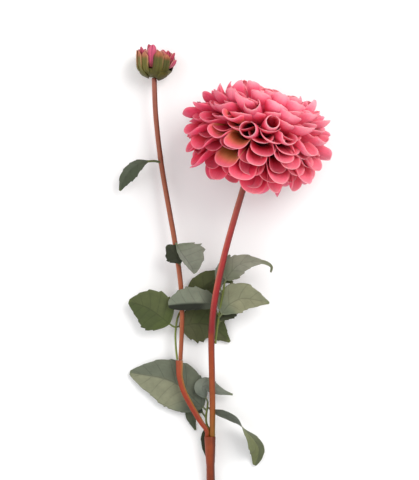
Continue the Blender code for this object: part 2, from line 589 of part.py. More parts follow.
def bud_petals(finish):
    """The tuft of petals in the cup: uneven upright blades on a rounded core, the longest in the open place."""
    core = turned("bud_petals", BUD_BASE, BUD_AXIS,
                  ((6.0, BUD_FOOT[-1][1] + GAP), (11.2, 8.1), (12.6, 11), (12.8, 16), (10.0, 20), (4.0, 21.5)), finish)
    blades = []
    for k, (at, path, half_width) in enumerate(BUD_TUFT):
        widths = (0.4, 0.7, 1.0, 0.3) if len(path) == 4 else (0.8, 1.0, 0.3)
        blades.append(wrapped_blade(f"tuft_{k}", BUD_BASE, BUD_AXIS, np.radians(at), path,
                                    half_width * np.array(widths), 0.9, finish))
    combine(core, blades)
    return core


def place_on_origin():
    """Moves the spray so that the middle of its box's underside is the world's origin."""
    bpy.context.view_layer.update()
    graph = bpy.context.evaluated_depsgraph_get()
    shown = [o for o in bpy.context.scene.collection.objects if not o.hide_render]
    corners = np.array([c for o in shown for c in evaluated_points(o, graph)])
    middle = (corners.min(axis=0) + corners.max(axis=0)) / 2
    for obj in bpy.context.scene.collection.objects:
        obj.location = (-middle[0], -middle[1], -corners[:, 2].min())


def evaluated_points(obj, graph):
    """The points of an object's mesh after its modifiers."""
    mesh = obj.evaluated_get(graph).to_mesh()
    points = np.empty(len(mesh.vertices) * 3, np.float32)
    mesh.vertices.foreach_get("co", points)
    return points.reshape(-1, 3)


def main():
    clear_scene()
    bark = material("stem_bark", (0.24, 0.06, 0.03), 0.45)
    rind = material("stalk_green", (0.16, 0.22, 0.05), 0.5)
    blade = material("leaf_green", (0.07, 0.10, 0.04), 0.6)
    green = material("sepal_green", (0.12, 0.16, 0.03), 0.55)
    pink = material("petal_pink", (0.72, 0.10, 0.16), 0.5)

    main_stem(bark)
    stem("bloom_stem", (*on_collar(BLOOM_STEM_FOOT), *BLOOM_STEM_PATH, *bloom_foot()),
         (2.5, BLOOM_STEM_RADIUS, BLOOM_STEM_RADIUS, BLOOM_STEM_RADIUS), bark, rings=17)
    stem("bud_stem_lower", (*on_collar(BUD_STEM_FOOT), *BUD_STEM_LOWER_PATH),
         (BUD_STEM_FOOT_RADIUS, 2.5, 2.5, 2.6, SLEEVE_RADIUS), bark, rings=12)
    stem("bud_stem_upper", BUD_STEM_UPPER_PATH, (1.9, BUD_STEM_RADIUS, BUD_STEM_RADIUS, BUD_STEM_RADIUS), bark,
         rings=16)
    cutters = {}
    stalks = dict(STALKS, leaf_stalk_low=(*on_collar(-0.2, -3.3), *STALKS["leaf_stalk_low"]))
    for name, path in stalks.items():
        stem(name, path, (LEAF_STALK_RADIUS, LEAF_STALK_RADIUS), rind, rings=12, sides=STALK_SIDES)
        cutters[name] = (path, LEAF_STALK_RADIUS)
    cutters["bud_stem_upper"] = (BUD_STEM_UPPER_PATH, BUD_STEM_RADIUS)
    for name, (path, radius) in cutters.items():
        ends = np.asarray(path, float)
        ends[-1] += unit(ends[-1] - ends[-2]) * GAP
        cutters[name] = as_cutter(stem("clear_of_" + name, ends, (radius + GAP,) * 2, rind, rings=20, sides=10))
    for leaf in LEAVES:
        cut_clear(sheet(leaf.name, *leaf_grid(leaf), blade), cutters[leaf.carrier])
    bloom(pink)
    bloom_calyx(green)
    bud_calyx(green)
    bud_petals(pink)
    place_on_origin()


main()
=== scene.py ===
"""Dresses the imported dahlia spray: fine petals, leaves and stems, their finishes, and the studio round them.

Every piece is worked out in the plant's own axes, in millimetres: X and Y are measured from the axis of the
main stem one collar length below its fork, +Y runs to the flowers and Z = 0 is the table. PlantAxes carries
the points to the frame's metres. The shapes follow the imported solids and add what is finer. Only the bloom's
petals have rules of their own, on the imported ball.
"""

import logging
from dataclasses import dataclass, field
from enum import Enum

import bpy
import numpy as np
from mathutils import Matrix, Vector


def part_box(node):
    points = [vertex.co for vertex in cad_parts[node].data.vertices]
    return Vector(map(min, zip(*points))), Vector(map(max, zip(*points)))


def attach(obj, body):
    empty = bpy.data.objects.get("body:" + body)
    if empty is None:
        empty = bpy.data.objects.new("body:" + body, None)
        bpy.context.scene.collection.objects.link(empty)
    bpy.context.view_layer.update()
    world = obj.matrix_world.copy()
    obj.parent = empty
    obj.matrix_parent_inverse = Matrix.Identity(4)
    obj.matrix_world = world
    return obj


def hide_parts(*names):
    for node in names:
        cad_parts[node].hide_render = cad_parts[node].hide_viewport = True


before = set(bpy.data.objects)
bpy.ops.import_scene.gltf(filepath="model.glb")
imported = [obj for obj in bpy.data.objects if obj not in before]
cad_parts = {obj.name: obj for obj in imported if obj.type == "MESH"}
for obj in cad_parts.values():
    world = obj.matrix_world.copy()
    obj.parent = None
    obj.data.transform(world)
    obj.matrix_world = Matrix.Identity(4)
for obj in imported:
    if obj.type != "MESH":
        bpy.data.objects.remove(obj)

Array = np.ndarray
Colour = tuple[int, int, int]
Point = tuple[float, float, float]
Pair = tuple[float, float]

LOG = logging.getLogger("dahlia")
MM = 0.001
DYE_SHARE = 0.80  # the lamps are this much brighter than a screen colour expects, to keep the floor white
BODY = "root"
OLIVE_SIDE = (-0.46, -0.12, 0.88)
PETAL_WIDEST = 0.66  # share of its length at which a petal is widest
GOLDEN_ANGLE = np.pi * (3.0 - np.sqrt(5.0))
UP = np.array((0.0, 0.0, 1.0))
RIGHT = np.array((1.0, 0.0, 0.0))

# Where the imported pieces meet, as the solids have it
GAP = 0.3
CUT_END = (0.8, -27.0, 3.8)
COLLAR_TOP = (-0.4, 38.7, 13.0)
COLLAR_HALF_WIDTH = 5.1
STEM_RADIUS = 3.75
BLOOM_CENTRE = (43.0, 307.0, 53.5)
BLOOM_AXIS = (0.29, 0.953, 0.087)
CORE_FOOT = 28.0 * np.cos(np.pi / 8)
CALYX_HEIGHT = 7.5
BUD_BASE = (-50.4, 362.2, 18.9)
BUD_AXIS = (0.08, 1.0, 0.02)


# ---------------------------------------------------------------- numbers

def unit(vector: Array) -> Array:
    """The vector, or rows of vectors, at length one."""
    vector = np.asarray(vector, float)
    return vector / np.linalg.norm(vector, axis=-1, keepdims=True)


def ease(low: float, high: float, value: Array) -> Array:
    """A smooth step t²(3 − 2t), with t = (value − low) / (high − low) held to 0..1."""
    t = np.clip((np.asarray(value, float) - low) / (high - low), 0, 1)
    return t * t * (3 - 2 * t)


def bump(centre: float, width: float, value: Array) -> Array:
    """A bell exp(−((value − centre) / width)²)."""
    return np.exp(-(((np.asarray(value, float) - centre) / width) ** 2))


def paint(colour: Colour) -> Array:
    """The linear dye of a screen colour c in 0..255, less the light that the bright floor needs.

    With c' = c/255 it is DYE_SHARE·((c' + 0.055) / 1.055)^2.4, or DYE_SHARE·c'/12.92 where c' is dark.
    """
    c = np.asarray(colour, float) / 255
    return DYE_SHARE * np.where(c > 0.04045, ((c + 0.055) / 1.055) ** 2.4, c / 12.92)


def blend(first: Array, second: Array, share: Array) -> Array:
    """first·(1 − share) + second·share, the share given per point."""
    share = np.asarray(share, float)[..., None]
    return first * (1 - share) + second * share


def colour_run(at: Array, places: tuple, colours: tuple) -> Array:
    """Colours read off a run of stops at these places, each channel between its neighbours in proportion."""
    stops = np.array([paint(c) for c in colours])
    return np.stack([np.interp(at, places, stops[:, k]) for k in range(3)], axis=-1)


def smooth_curve(points: Array, shares: Array) -> Array:
    """Points at these shares of the length of a Catmull-Rom curve through the given points."""
    given = np.asarray(points, float)
    padded = np.vstack([2 * given[0] - given[1], given, 2 * given[-1] - given[-2]])
    t = np.linspace(0, 1, 24, endpoint=False)[:, None]
    pieces = [
        0.5 * (2 * b + (c - a) * t + (2 * a - 5 * b + 4 * c - d) * t**2 + (3 * b - a - 3 * c + d) * t**3)
        for a, b, c, d in zip(padded, padded[1:], padded[2:], padded[3:])
    ]
    fine = np.vstack([*pieces, given[-1:]])
    length = np.r_[0, np.cumsum(np.linalg.norm(np.diff(fine, axis=0), axis=1))]
    at = np.asarray(shares) * length[-1]
    return np.column_stack([np.interp(at, length, fine[:, k]) for k in range(fine.shape[1])])


def curve_tangents(points: Array, shares: Array) -> Array:
    """Directions of the same curve at the same shares of its length."""
    ahead = smooth_curve(points, np.clip(shares + 0.004, 0, 1))
    return unit(ahead - smooth_curve(points, np.clip(shares - 0.004, 0, 1)))


def curve_length(points: Array) -> float:
    """Length of the curve in millimetres."""
    steps = np.diff(smooth_curve(points, np.linspace(0, 1, 80)), axis=0)
    return float(np.linalg.norm(steps, axis=1).sum())


def blade_skin(u: Array, v: Array, across: float, along: float) -> Array:
    """Cloth coordinates of a blade, with v running across it and u along it."""
    return np.stack(np.broadcast_arrays(v[None] * across, u[:, None] * along), -1)


def ball_frame(axis: Point) -> tuple[Array, Array, Array]:
    """Unit vectors along an axis and two square to it, the first of them pointing up as far as it can."""
    a = unit(axis)
    e1 = unit(UP - a * a[2])
    return a, e1, np.cross(a, e1)


# ---------------------------------------------------------------- meshes

@dataclass
class Shell:
    """A mesh under construction: points in plant millimetres, blocks of faces, and values held per point."""

    points: Array
    faces: list[Array]
    values: dict[str, Array] = field(default_factory=dict)

    @staticmethod
    def joined(shells: list["Shell"]) -> "Shell":
        """One shell of several that hold the same values."""
        starts = np.cumsum([0] + [len(s.points) for s in shells[:-1]])
        return Shell(
            np.concatenate([s.points for s in shells]),
            [block + start for s, start in zip(shells, starts) for block in s.faces],
            {key: np.concatenate([s.values[key] for s in shells]) for key in shells[0].values},
        )


@dataclass(frozen=True)
class PlantAxes:
    """Carries the plant's millimetres to the frame's metres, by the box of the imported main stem."""

    shift: Array

    @classmethod
    def from_frame(cls) -> "PlantAxes":
        """Reads the shift from the main stem: widest at its collar, lowest in Y at its cut end."""
        low, high = (np.array(corner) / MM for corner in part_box("main_stem"))
        slope = unit(np.array(COLLAR_TOP) - CUT_END)
        middle_x = COLLAR_TOP[0]
        lowest_y = CUT_END[1] + STEM_RADIUS * unit(np.cross(RIGHT, slope))[1]
        return cls(np.array([(low[0] + high[0]) / 2 - middle_x, low[1] - lowest_y, low[2]]))

    def world(self, points: Array) -> Array:
        """Points of the plant in the frame's metres."""
        return (np.asarray(points, float) + self.shift) * MM

    def add(self, name: str, shell: Shell, finish: bpy.types.Material, node: str,
            slot: str) -> bpy.types.Object:
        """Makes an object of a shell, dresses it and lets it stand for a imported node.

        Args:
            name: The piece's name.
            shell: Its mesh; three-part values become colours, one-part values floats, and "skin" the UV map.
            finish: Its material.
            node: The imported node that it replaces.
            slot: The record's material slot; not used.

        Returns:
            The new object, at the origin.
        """
        mesh = bpy.data.meshes.new(name)
        faces = [face for block in shell.faces for face in block.tolist()]
        mesh.from_pydata(self.world(shell.points).tolist(), [], faces)
        mesh.shade_smooth()
        for key, value in shell.values.items():
            if key == "skin":
                corner = np.empty(len(mesh.loops), np.int32)
                mesh.loops.foreach_get("vertex_index", corner)
                mesh.uv_layers.new(name="skin").data.foreach_set("uv", value[corner].ravel())
            elif value.ndim == 2:
                made = mesh.color_attributes.new(key, "FLOAT_COLOR", "POINT")
                made.data.foreach_set("color", np.column_stack([value, np.ones(len(value))]).ravel())
            else:
                mesh.attributes.new(key, "FLOAT", "POINT").data.foreach_set("value", value.astype(np.float32))
        mesh.materials.append(finish)
        mesh.validate()
        made = bpy.data.objects.new(name, mesh)
        bpy.context.scene.collection.objects.link(made)
        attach(made, BODY)
        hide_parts(node)
        LOG.info("%s: %d points, %d faces", name, len(mesh.vertices), len(mesh.polygons))
        return made


def sheets(grids: Array, thickness: Array, front: dict[str, Array], back: dict[str, Array]) -> Shell:
    """Closed blades round grids of points.

    With n the unit normal ∂p/∂row × ∂p/∂column, the two faces are p ± ½·thickness·n.
    A band closes the rim.

    Args:
        grids: Middle surfaces, shape (blades, rows, columns, 3).
        thickness: Thickness at each point, or what broadcasts to it.
        front: Values of the face on the side of n, shape (blades, rows, columns[, parts]).
        back: The same for the other face.
    """
    count, rows, columns = grids.shape[:3]
    normal = unit(np.cross(np.gradient(grids, axis=1), np.gradient(grids, axis=2)))
    half = 0.5 * np.broadcast_to(thickness, grids.shape[:3])[..., None] * normal
    points = np.stack([grids + half, grids - half], axis=1)
    one = rows * columns
    index = np.arange(one).reshape(rows, columns)
    quads = np.stack([index[:-1, :-1], index[1:, :-1], index[1:, 1:], index[:-1, 1:]], -1).reshape(-1, 4)
    rim = np.concatenate([index[0], index[1:, -1], index[-1, -2::-1], index[-2:0:-1, 0]])
    ahead = np.roll(rim, -1)
    faces = np.concatenate([quads, quads[:, ::-1] + one, np.stack([rim, ahead, ahead + one, rim + one], -1)])
    every = (faces[None] + 2 * one * np.arange(count)[:, None, None]).reshape(-1, 4)
    values = {}
    for key in front:
        pair = np.stack([front[key], back[key]], axis=1)
        values[key] = pair.reshape(-1, pair.shape[-1]) if pair.ndim == 5 else pair.ravel()
    return Shell(points.reshape(-1, 3), [every], values)


def tube_rings(path: Array, tangents: Array, sides: int) -> tuple[Array, Array]:
    """Unit circles square to a path, each turned as little as possible from the one before.

    Returns:
        The outward directions, shape (rings, sides, 3), and the angle of each side.
    """
    normal = unit(np.cross(tangents[0], UP))
    angle = np.linspace(0, 2 * np.pi, sides, endpoint=False)
    outward = []
    for tangent in tangents:
        normal = unit(normal - tangent * np.dot(normal, tangent))
        outward.append(np.cos(angle)[:, None] * normal + np.sin(angle)[:, None] * np.cross(tangent, normal))
    return np.array(outward), angle


def closed_tube(rings: Array, values: dict[str, Array]) -> Shell:
    """A closed skin over rings of points, each end closed by a fan to its middle.

    Args:
        rings: Points, shape (rings, sides, 3), counted anticlockwise when seen from the far end.
        values: Values of the ring points, shape (rings, sides[, parts]); the end middles take their ring's
            mean.
    """
    count, sides = rings.shape[:2]
    index = np.arange(count * sides).reshape(count, sides)
    ahead = np.roll(index, -1, axis=1)
    walls = np.stack([index[:-1], ahead[:-1], ahead[1:], index[1:]], -1).reshape(-1, 4)
    first, last = count * sides, count * sides + 1
    fans = np.concatenate([
        np.stack([np.full(sides, first), ahead[0], index[0]], -1),
        np.stack([np.full(sides, last), index[-1], ahead[-1]], -1),
    ])
    points = np.concatenate([rings.reshape(-1, 3), [rings[0].mean(0), rings[-1].mean(0)]])
    kept = {}
    for key, value in values.items():
        flat = value.reshape(count * sides, *value.shape[2:])
        kept[key] = np.concatenate([flat, [value[0].mean(0)], [value[-1].mean(0)]])
    return Shell(points, [walls, fans], kept)


# ---------------------------------------------------------------- finishes

class NodeSketch:
    """Adds nodes to one tree and feeds their sockets from values or from other sockets."""

    def __init__(self, tree: bpy.types.NodeTree) -> None:
        """Starts from an empty tree."""
        self.tree = tree
        tree.nodes.clear()

    def add(self, kind: str, inputs: dict | None = None, **settings: object) -> bpy.types.Node:
        """Adds a node.

        Args:
            kind: The node's type, without the "ShaderNode" before it where it has that.
            inputs: Values or sockets by the name or number of the input they feed.
            settings: Properties of the node.

        Returns:
            The node.
        """
        made = self.tree.nodes.new(kind if kind.startswith("Node") else "ShaderNode" + kind)
        made.location = (220 * len(self.tree.nodes), 0)
        for key, value in settings.items():
            setattr(made, key, value)
        for key, value in (inputs or {}).items():
            self.feed(made.inputs[key], value)
        return made

    def feed(self, socket: bpy.types.NodeSocket, value: object) -> None:
        """Joins another socket to this one, or sets its value."""
        if isinstance(value, bpy.types.NodeSocket):
            self.tree.links.new(value, socket)
        else:
            socket.default_value = value

    def math(self, operation: str, *values: object) -> bpy.types.NodeSocket:
        """The result of a Math node."""
        return self.add("Math", dict(enumerate(values)), operation=operation).outputs[0]

    def scaled(self, vector: object, factor: object) -> bpy.types.NodeSocket:
        """A vector or colour times a number."""
        return self.add("VectorMath", {0: vector, "Scale": factor}, operation="SCALE").outputs[0]

    def group(self, tree: bpy.types.NodeTree, inputs: dict) -> bpy.types.Node:
        """Places a node group."""
        made = self.add("Group", node_tree=tree)
        for key, value in inputs.items():
            self.feed(made.inputs[key], value)
        return made


def new_group(name: str, inputs: dict[str, str],
              outputs: dict[str, str]) -> tuple[bpy.types.NodeTree, NodeSketch]:
    """An empty shader node group with named sockets.

    Args:
        name: The group's name.
        inputs: Kind of each input socket, by name: Float, Vector or Color.
        outputs: The same for the outputs.

    Returns:
        The group's tree and a sketch of it.
    """
    tree = bpy.data.node_groups.new(name, "ShaderNodeTree")
    for kinds, in_out in ((inputs, "INPUT"), (outputs, "OUTPUT")):
        for key, kind in kinds.items():
            tree.interface.new_socket(key, in_out=in_out, socket_type="NodeSocket" + kind)
    return tree, NodeSketch(tree)


def mottle_group() -> bpy.types.NodeTree:
    """Uneven dye: the colour times 1 ± Amount, by a soft noise of this Scale."""
    tree, sketch = new_group("mottle",
                             {"Color": "Color", "Vector": "Vector", "Scale": "Float", "Amount": "Float"},
                             {"Color": "Color", "Fac": "Float"})
    given = sketch.add("NodeGroupInput").outputs
    noise = sketch.add("TexNoise", {"Vector": given["Vector"], "Scale": given["Scale"], "Detail": 3.0,
                                    "Roughness": 0.6})
    swing = sketch.math("MULTIPLY", sketch.math("SUBTRACT", noise.outputs["Fac"], 0.5), given["Amount"])
    factor = sketch.math("MULTIPLY_ADD", swing, 4.0, 1.0)
    sketch.add("NodeGroupOutput",
               {"Color": sketch.scaled(given["Color"], factor), "Fac": noise.outputs["Fac"]})
    return tree


def fibre_group() -> bpy.types.NodeTree:
    """Lengthwise fibres: noise on the UV map, Count lines to a unit across and stretched along."""
    tree, sketch = new_group("fibres", {"Skin": "Vector", "Count": "Float", "Stretch": "Float"},
                             {"Fac": "Float"})
    given = sketch.add("NodeGroupInput").outputs
    parts = sketch.add("SeparateXYZ", {0: given["Skin"]}).outputs
    vector = sketch.add("CombineXYZ", {
        0: sketch.math("MULTIPLY", parts[0], given["Count"]),
        1: sketch.math("MULTIPLY", parts[1], given["Stretch"]),
    }).outputs[0]
    noise = sketch.add("TexNoise", {"Vector": vector, "Scale": 1.0, "Detail": 2.0, "Roughness": 0.55})
    sketch.add("NodeGroupOutput", {"Fac": noise.outputs["Fac"]})
    return tree


def weave_group() -> bpy.types.NodeTree:
    """Woven cloth: ½ + ¼·(sin 2πx/Pitch + sin 2πy/Pitch) on a UV map in millimetres."""
    tree, sketch = new_group("weave", {"Skin": "Vector", "Pitch": "Float"}, {"Height": "Float"})
    given = sketch.add("NodeGroupInput").outputs
    turns = sketch.math("DIVIDE", 2 * np.pi, given["Pitch"])
    parts = sketch.add("SeparateXYZ", {0: given["Skin"]}).outputs
    warp, weft = (sketch.math("SINE", sketch.math("MULTIPLY", part, turns)) for part in parts[:2])
    sketch.add("NodeGroupOutput",
               {"Height": sketch.math("MULTIPLY_ADD", sketch.math("ADD", warp, weft), 0.25, 0.5)})
    return tree


@dataclass(frozen=True)
class Cloth:
    """A printed cloth petal or leaf: its own tint, fibres, blotches, a weave, and veins if it has them."""

    name: str
    fibre_count: float  # lines to a millimetre across
    fibre_depth: float  # how far they darken the tint
    blotch: float
    roughness: float
    sheen: float
    relief: float  # height of fibres and weave, millimetres
    veined: bool = False
    glow: float = 0.0  # share of the light that soaks through the cloth

    def material(self, groups: dict[str, bpy.types.NodeTree]) -> bpy.types.Material:
        """The finished material."""
        made = bpy.data.materials.new(self.name)
        made.use_nodes = True
        sketch = NodeSketch(made.node_tree)
        skin = sketch.add("UVMap", uv_map="skin").outputs[0]
        place = sketch.add("TexCoord").outputs["Object"]
        tint = sketch.add("Attribute", attribute_name="tint").outputs["Color"]
        fibres = sketch.group(groups["fibres"],
                              {"Skin": skin, "Count": self.fibre_count, "Stretch": 0.06}).outputs[0]
        weave = sketch.group(groups["weave"], {"Skin": skin, "Pitch": 0.42}).outputs[0]
        mottle = sketch.group(groups["mottle"], {"Color": tint, "Vector": place, "Scale": 130.0,
                                                 "Amount": self.blotch})
        shade = sketch.math("MULTIPLY_ADD", sketch.math("SUBTRACT", fibres, 0.5), 2 * self.fibre_depth, 1.0)
        height = sketch.math("MULTIPLY_ADD", weave, 0.25, fibres)
        if self.veined:
            vein = self.veins(sketch)
            shade = sketch.math("MULTIPLY", shade, sketch.math("MULTIPLY_ADD", vein, -0.32, 1.0))
            height = sketch.math("SUBTRACT", height, sketch.math("MULTIPLY", vein, 1.6))
        normal = sketch.add("Bump",
                            {"Height": height, "Distance": self.relief * MM, "Strength": 0.8}).outputs[0]
        rough = sketch.math("MULTIPLY_ADD", mottle.outputs["Fac"], 0.3, self.roughness - 0.15)
        shader = sketch.add("BsdfPrincipled", {
            "Base Color": sketch.scaled(mottle.outputs["Color"], shade), "Roughness": rough, "Normal": normal,
            "Sheen Weight": self.sheen, "Sheen Roughness": 0.4, "Specular IOR Level": 0.25,
            "Subsurface Weight": self.glow, "Subsurface Radius": (1.0, 0.45, 0.4), "Subsurface Scale": 0.0012,
        })
        sketch.add("OutputMaterial", {"Surface": shader.outputs[0]})
        return made

    @staticmethod
    def veins(sketch: NodeSketch) -> bpy.types.NodeSocket:
        """Mask of the midrib and side veins, from the leaf's own vein phase and distance from its rib.

        A side vein runs where the phase is whole, |phase − round(phase)| < width, and thins towards the
        margin.
        """
        phase = sketch.add("Attribute", attribute_name="vein_phase").outputs["Fac"]
        out = sketch.add("Attribute", attribute_name="from_rib").outputs["Fac"]
        near = sketch.math("PINGPONG", phase, 0.5)
        width = sketch.math("MULTIPLY_ADD", out, -0.05, 0.075)
        side = sketch.math("SUBTRACT", 1.0, sketch.math("DIVIDE", near, width))
        rib = sketch.math("SUBTRACT", 1.0, sketch.math("DIVIDE", out, 0.05))
        both = sketch.math("MAXIMUM", sketch.math("MULTIPLY", side, 0.75), rib)
        return sketch.add("Clamp", {0: both}).outputs[0]


@dataclass(frozen=True)
class Rind:
    """A moulded stem or stalk: its own tint, with lengthwise streaks and a slight gloss."""

    name: str
    streaks: float  # streaks round the whole stem
    depth: float
    blotch: float
    roughness: float
    relief: float

    def material(self, groups: dict[str, bpy.types.NodeTree]) -> bpy.types.Material:
        """The finished material."""
        made = bpy.data.materials.new(self.name)
        made.use_nodes = True
        sketch = NodeSketch(made.node_tree)
        skin = sketch.add("UVMap", uv_map="skin").outputs[0]
        place = sketch.add("TexCoord").outputs["Object"]
        tint = sketch.add("Attribute", attribute_name="tint").outputs["Color"]
        fibres = sketch.group(groups["fibres"],
                              {"Skin": skin, "Count": self.streaks, "Stretch": 0.05}).outputs[0]
        mottle = sketch.group(groups["mottle"], {"Color": tint, "Vector": place, "Scale": 260.0,
                                                 "Amount": self.blotch})
        shade = sketch.math("MULTIPLY_ADD", sketch.math("SUBTRACT", fibres, 0.5), 2 * self.depth, 1.0)
        grain = sketch.math("MULTIPLY_ADD", mottle.outputs["Fac"], 0.4, fibres)
        normal = sketch.add("Bump",
                            {"Height": grain, "Distance": self.relief * MM, "Strength": 0.7}).outputs[0]
        rough = sketch.math("MULTIPLY_ADD", mottle.outputs["Fac"], 0.3, self.roughness - 0.15)
        shader = sketch.add("BsdfPrincipled", {
            "Base Color": sketch.scaled(mottle.outputs["Color"], shade), "Roughness": rough, "Normal": normal,
            "Specular IOR Level": 0.3,
        })
        sketch.add("OutputMaterial", {"Surface": shader.outputs[0]})
        return made


class Finish(Enum):
    """The finishes of the spray."""

    PETAL = Cloth("petal_cloth", fibre_count=0.9, fibre_depth=0.12, blotch=0.08, roughness=0.62, sheen=0.02,
                  relief=0.1, glow=0.3)
    BUD_PETAL = Cloth("bud_petal_cloth", fibre_count=1.3, fibre_depth=0.24, blotch=0.14, roughness=0.62,
                      sheen=0.1, relief=0.2)
    LEAF = Cloth("leaf_cloth", fibre_count=0.7, fibre_depth=0.08, blotch=0.14, roughness=0.64, sheen=0.05,
                 relief=0.16, veined=True)
    SEPAL = Cloth("sepal_cloth", fibre_count=1.4, fibre_depth=0.26, blotch=0.16, roughness=0.55, sheen=0.05,
                  relief=0.25)
    BARK = Rind("stem_rind", streaks=14.0, depth=0.22, blotch=0.12, roughness=0.42, relief=0.12)
    STALK = Rind("stalk_rind", streaks=8.0, depth=0.18, blotch=0.14, roughness=0.5, relief=0.08)


# ---------------------------------------------------------------- stems

def on_collar(right: float, up: float = 0.0) -> tuple[Array, Array]:
    """Two points that start a stem straight out of the collar's top face."""
    along = unit(np.array(COLLAR_TOP) - CUT_END)
    start = np.array(COLLAR_TOP) + along * GAP + (right, 0, 0) + unit(np.cross(RIGHT, along)) * up
    return start, start + along * 5


def bloom_foot() -> tuple[Array, Array]:
    """Two points that end the bloom stem straight under the calyx."""
    end = np.array(BLOOM_CENTRE) - unit(BLOOM_AXIS) * (CORE_FOOT + GAP + CALYX_HEIGHT + GAP)
    return end - unit(BLOOM_AXIS) * 6, end


@dataclass(frozen=True)
class Stem:
    """A round stem along a smooth path, tinted by stops along its left, its middle and its right.

    The left and right stops hold painted highlight and painted shade on the stem's sides.
    """

    node: str
    path: tuple
    radii: tuple[float, ...]
    places: tuple[float, ...]  # shares of the length where the colours are given
    # left and right: the stem's colour with a painted highlight or painted shade on that side
    left: tuple[Colour, ...]
    middle: tuple[Colour, ...]
    right: tuple[Colour, ...]
    finish: Finish = Finish.BARK
    slot: str = "stem_bark"
    sides: int = 24
    knots: tuple[float, ...] = ()  # shares of the length where a leaf once stood
    tuck: float = 0.0  # how far the first end is pushed into what carries it

    def build(self, axes: PlantAxes, finishes: dict[Finish, bpy.types.Material]) -> bpy.types.Object:
        """Makes the stem.

        The radius is r(s)·(1 + flute·cos 5φ + knot bells), and both ends are rounded over one radius
        fraction.
        """
        length = curve_length(self.path)
        shares = np.unique(np.r_[np.linspace(0, 1, max(24, int(length / 2.2))), 0.6 / length,
                                 1 - 0.6 / length])
        path = smooth_curve(self.path, shares)
        tangents = curve_tangents(self.path, shares)
        path[0] -= tangents[0] * self.tuck
        outward, angle = tube_rings(path, tangents, self.sides)
        radius = np.interp(shares, np.linspace(0, 1, len(self.radii)), self.radii)
        for knot in self.knots:
            radius = radius * (1 + 0.10 * bump(knot, 1.6 / length, shares))
        radius[[0, -1]] *= 0.88
        flute = (1 + 0.022 * np.cos(5 * angle + 0.7)[None]
                 + 0.012 * np.cos(3 * angle[None] + 9 * shares[:, None]))
        rings = path[:, None] + (radius[:, None] * flute)[..., None] * outward
        return axes.add(self.node + "_fine", closed_tube(rings, self.values(shares, outward, angle, length)),
                        finishes[self.finish], self.node, self.slot)

    def values(self, shares: Array, outward: Array, angle: Array, length: float) -> dict[str, Array]:
        """Tint and UV map: u is the share round the stem and v the way along it in millimetres."""
        rings, sides = outward.shape[:2]
        at = np.repeat(shares[:, None], sides, axis=1)
        left, middle, right = (colour_run(at, self.places, c) for c in (self.left, self.middle, self.right))
        across = outward @ RIGHT
        # painted highlight and painted shade: the tint turns to the left stops on the stem's left and the
        # right stops on its right
        tint = blend(blend(middle, left, ease(0.25, 0.95, -across)), right, ease(0.25, 0.95, across))
        for knot in self.knots:
            tint = blend(tint, tint * 0.55, 0.8 * bump(knot - 1.2 / length, 0.7 / length, at))
        round_ = np.abs(angle / np.pi - 1)[None].repeat(rings, 0)
        return {"tint": tint, "skin": np.stack([round_, at * length], -1)}


@dataclass(frozen=True)
class Collar:
    """The main stem: round from its cut end, then an oval collar whose top carries both flower stems."""

    half_depth: float = 4.6
    length: float = 26.0
    sides: int = 40

    def build(self, axes: PlantAxes, finishes: dict[Finish, bpy.types.Material]) -> bpy.types.Object:
        """Makes the stem: ovals that grow as (1 − distance/length)^0.7 in width and depth at the collar."""
        top, foot = np.array(COLLAR_TOP), np.array(CUT_END)
        length = float(np.linalg.norm(top - foot))
        shares = np.r_[0.0, 0.004, 0.012, np.linspace(0.03, 0.97, 60), 0.985, 0.994, 1.0]
        path = foot + (top - foot) * shares[:, None]
        up = unit(np.cross(RIGHT, top - foot))
        swell = np.clip(1 - (1 - shares) * length / self.length, 0, 1) ** 0.7
        angle = np.linspace(0, 2 * np.pi, self.sides, endpoint=False)
        flute = 1 + 0.012 * np.cos(6 * angle + 0.4)[None] * (1 - swell[:, None])
        end = np.interp(shares, [0, 0.012, 0.985, 1], [0.93, 1, 1, 0.95])[:, None] * flute
        width = (STEM_RADIUS + (COLLAR_HALF_WIDTH - STEM_RADIUS) * swell)[:, None] * end
        depth = (STEM_RADIUS + (self.half_depth - STEM_RADIUS) * swell)[:, None] * end
        outward = np.cos(angle)[:, None] * RIGHT + np.sin(angle)[:, None] * up
        rings = (path[:, None] + (width * np.cos(angle))[..., None] * RIGHT
                 + (depth * np.sin(angle))[..., None] * up)
        rings[0, :, 2] -= rings[0, :, 2].min()
        at = np.repeat(shares[:, None], self.sides, axis=1)
        across = np.broadcast_to(outward @ RIGHT, at.shape)
        places = (0.0, 0.3, 0.62, 0.85, 1.0)
        middle = colour_run(at, places,
                            ((112, 50, 22), (120, 50, 20), (140, 60, 24), (152, 68, 28), (132, 56, 26)))
        # left is a painted highlight and right is painted shade on the collar's sides
        left = colour_run(at, places,
                          ((124, 48, 20), (134, 52, 20), (148, 58, 24), (162, 68, 30), (148, 60, 28)))
        right = colour_run(at, places, ((74, 34, 18), (76, 32, 16), (88, 38, 18), (98, 42, 20), (92, 40, 22)))
        tint = blend(blend(middle, left, ease(0.2, 0.95, -across)), right, ease(0.2, 0.95, across))
        tint = blend(tint, paint((150, 128, 88)), ease(0.006, 0.0, at))
        round_ = np.abs(angle / np.pi - 1)[None].repeat(len(shares), 0)
        values = {"tint": tint, "skin": np.stack([round_, at * length], -1)}
        return axes.add("main_stem_fine", closed_tube(rings, values), finishes[Finish.BARK], "main_stem",
                        "stem_bark")


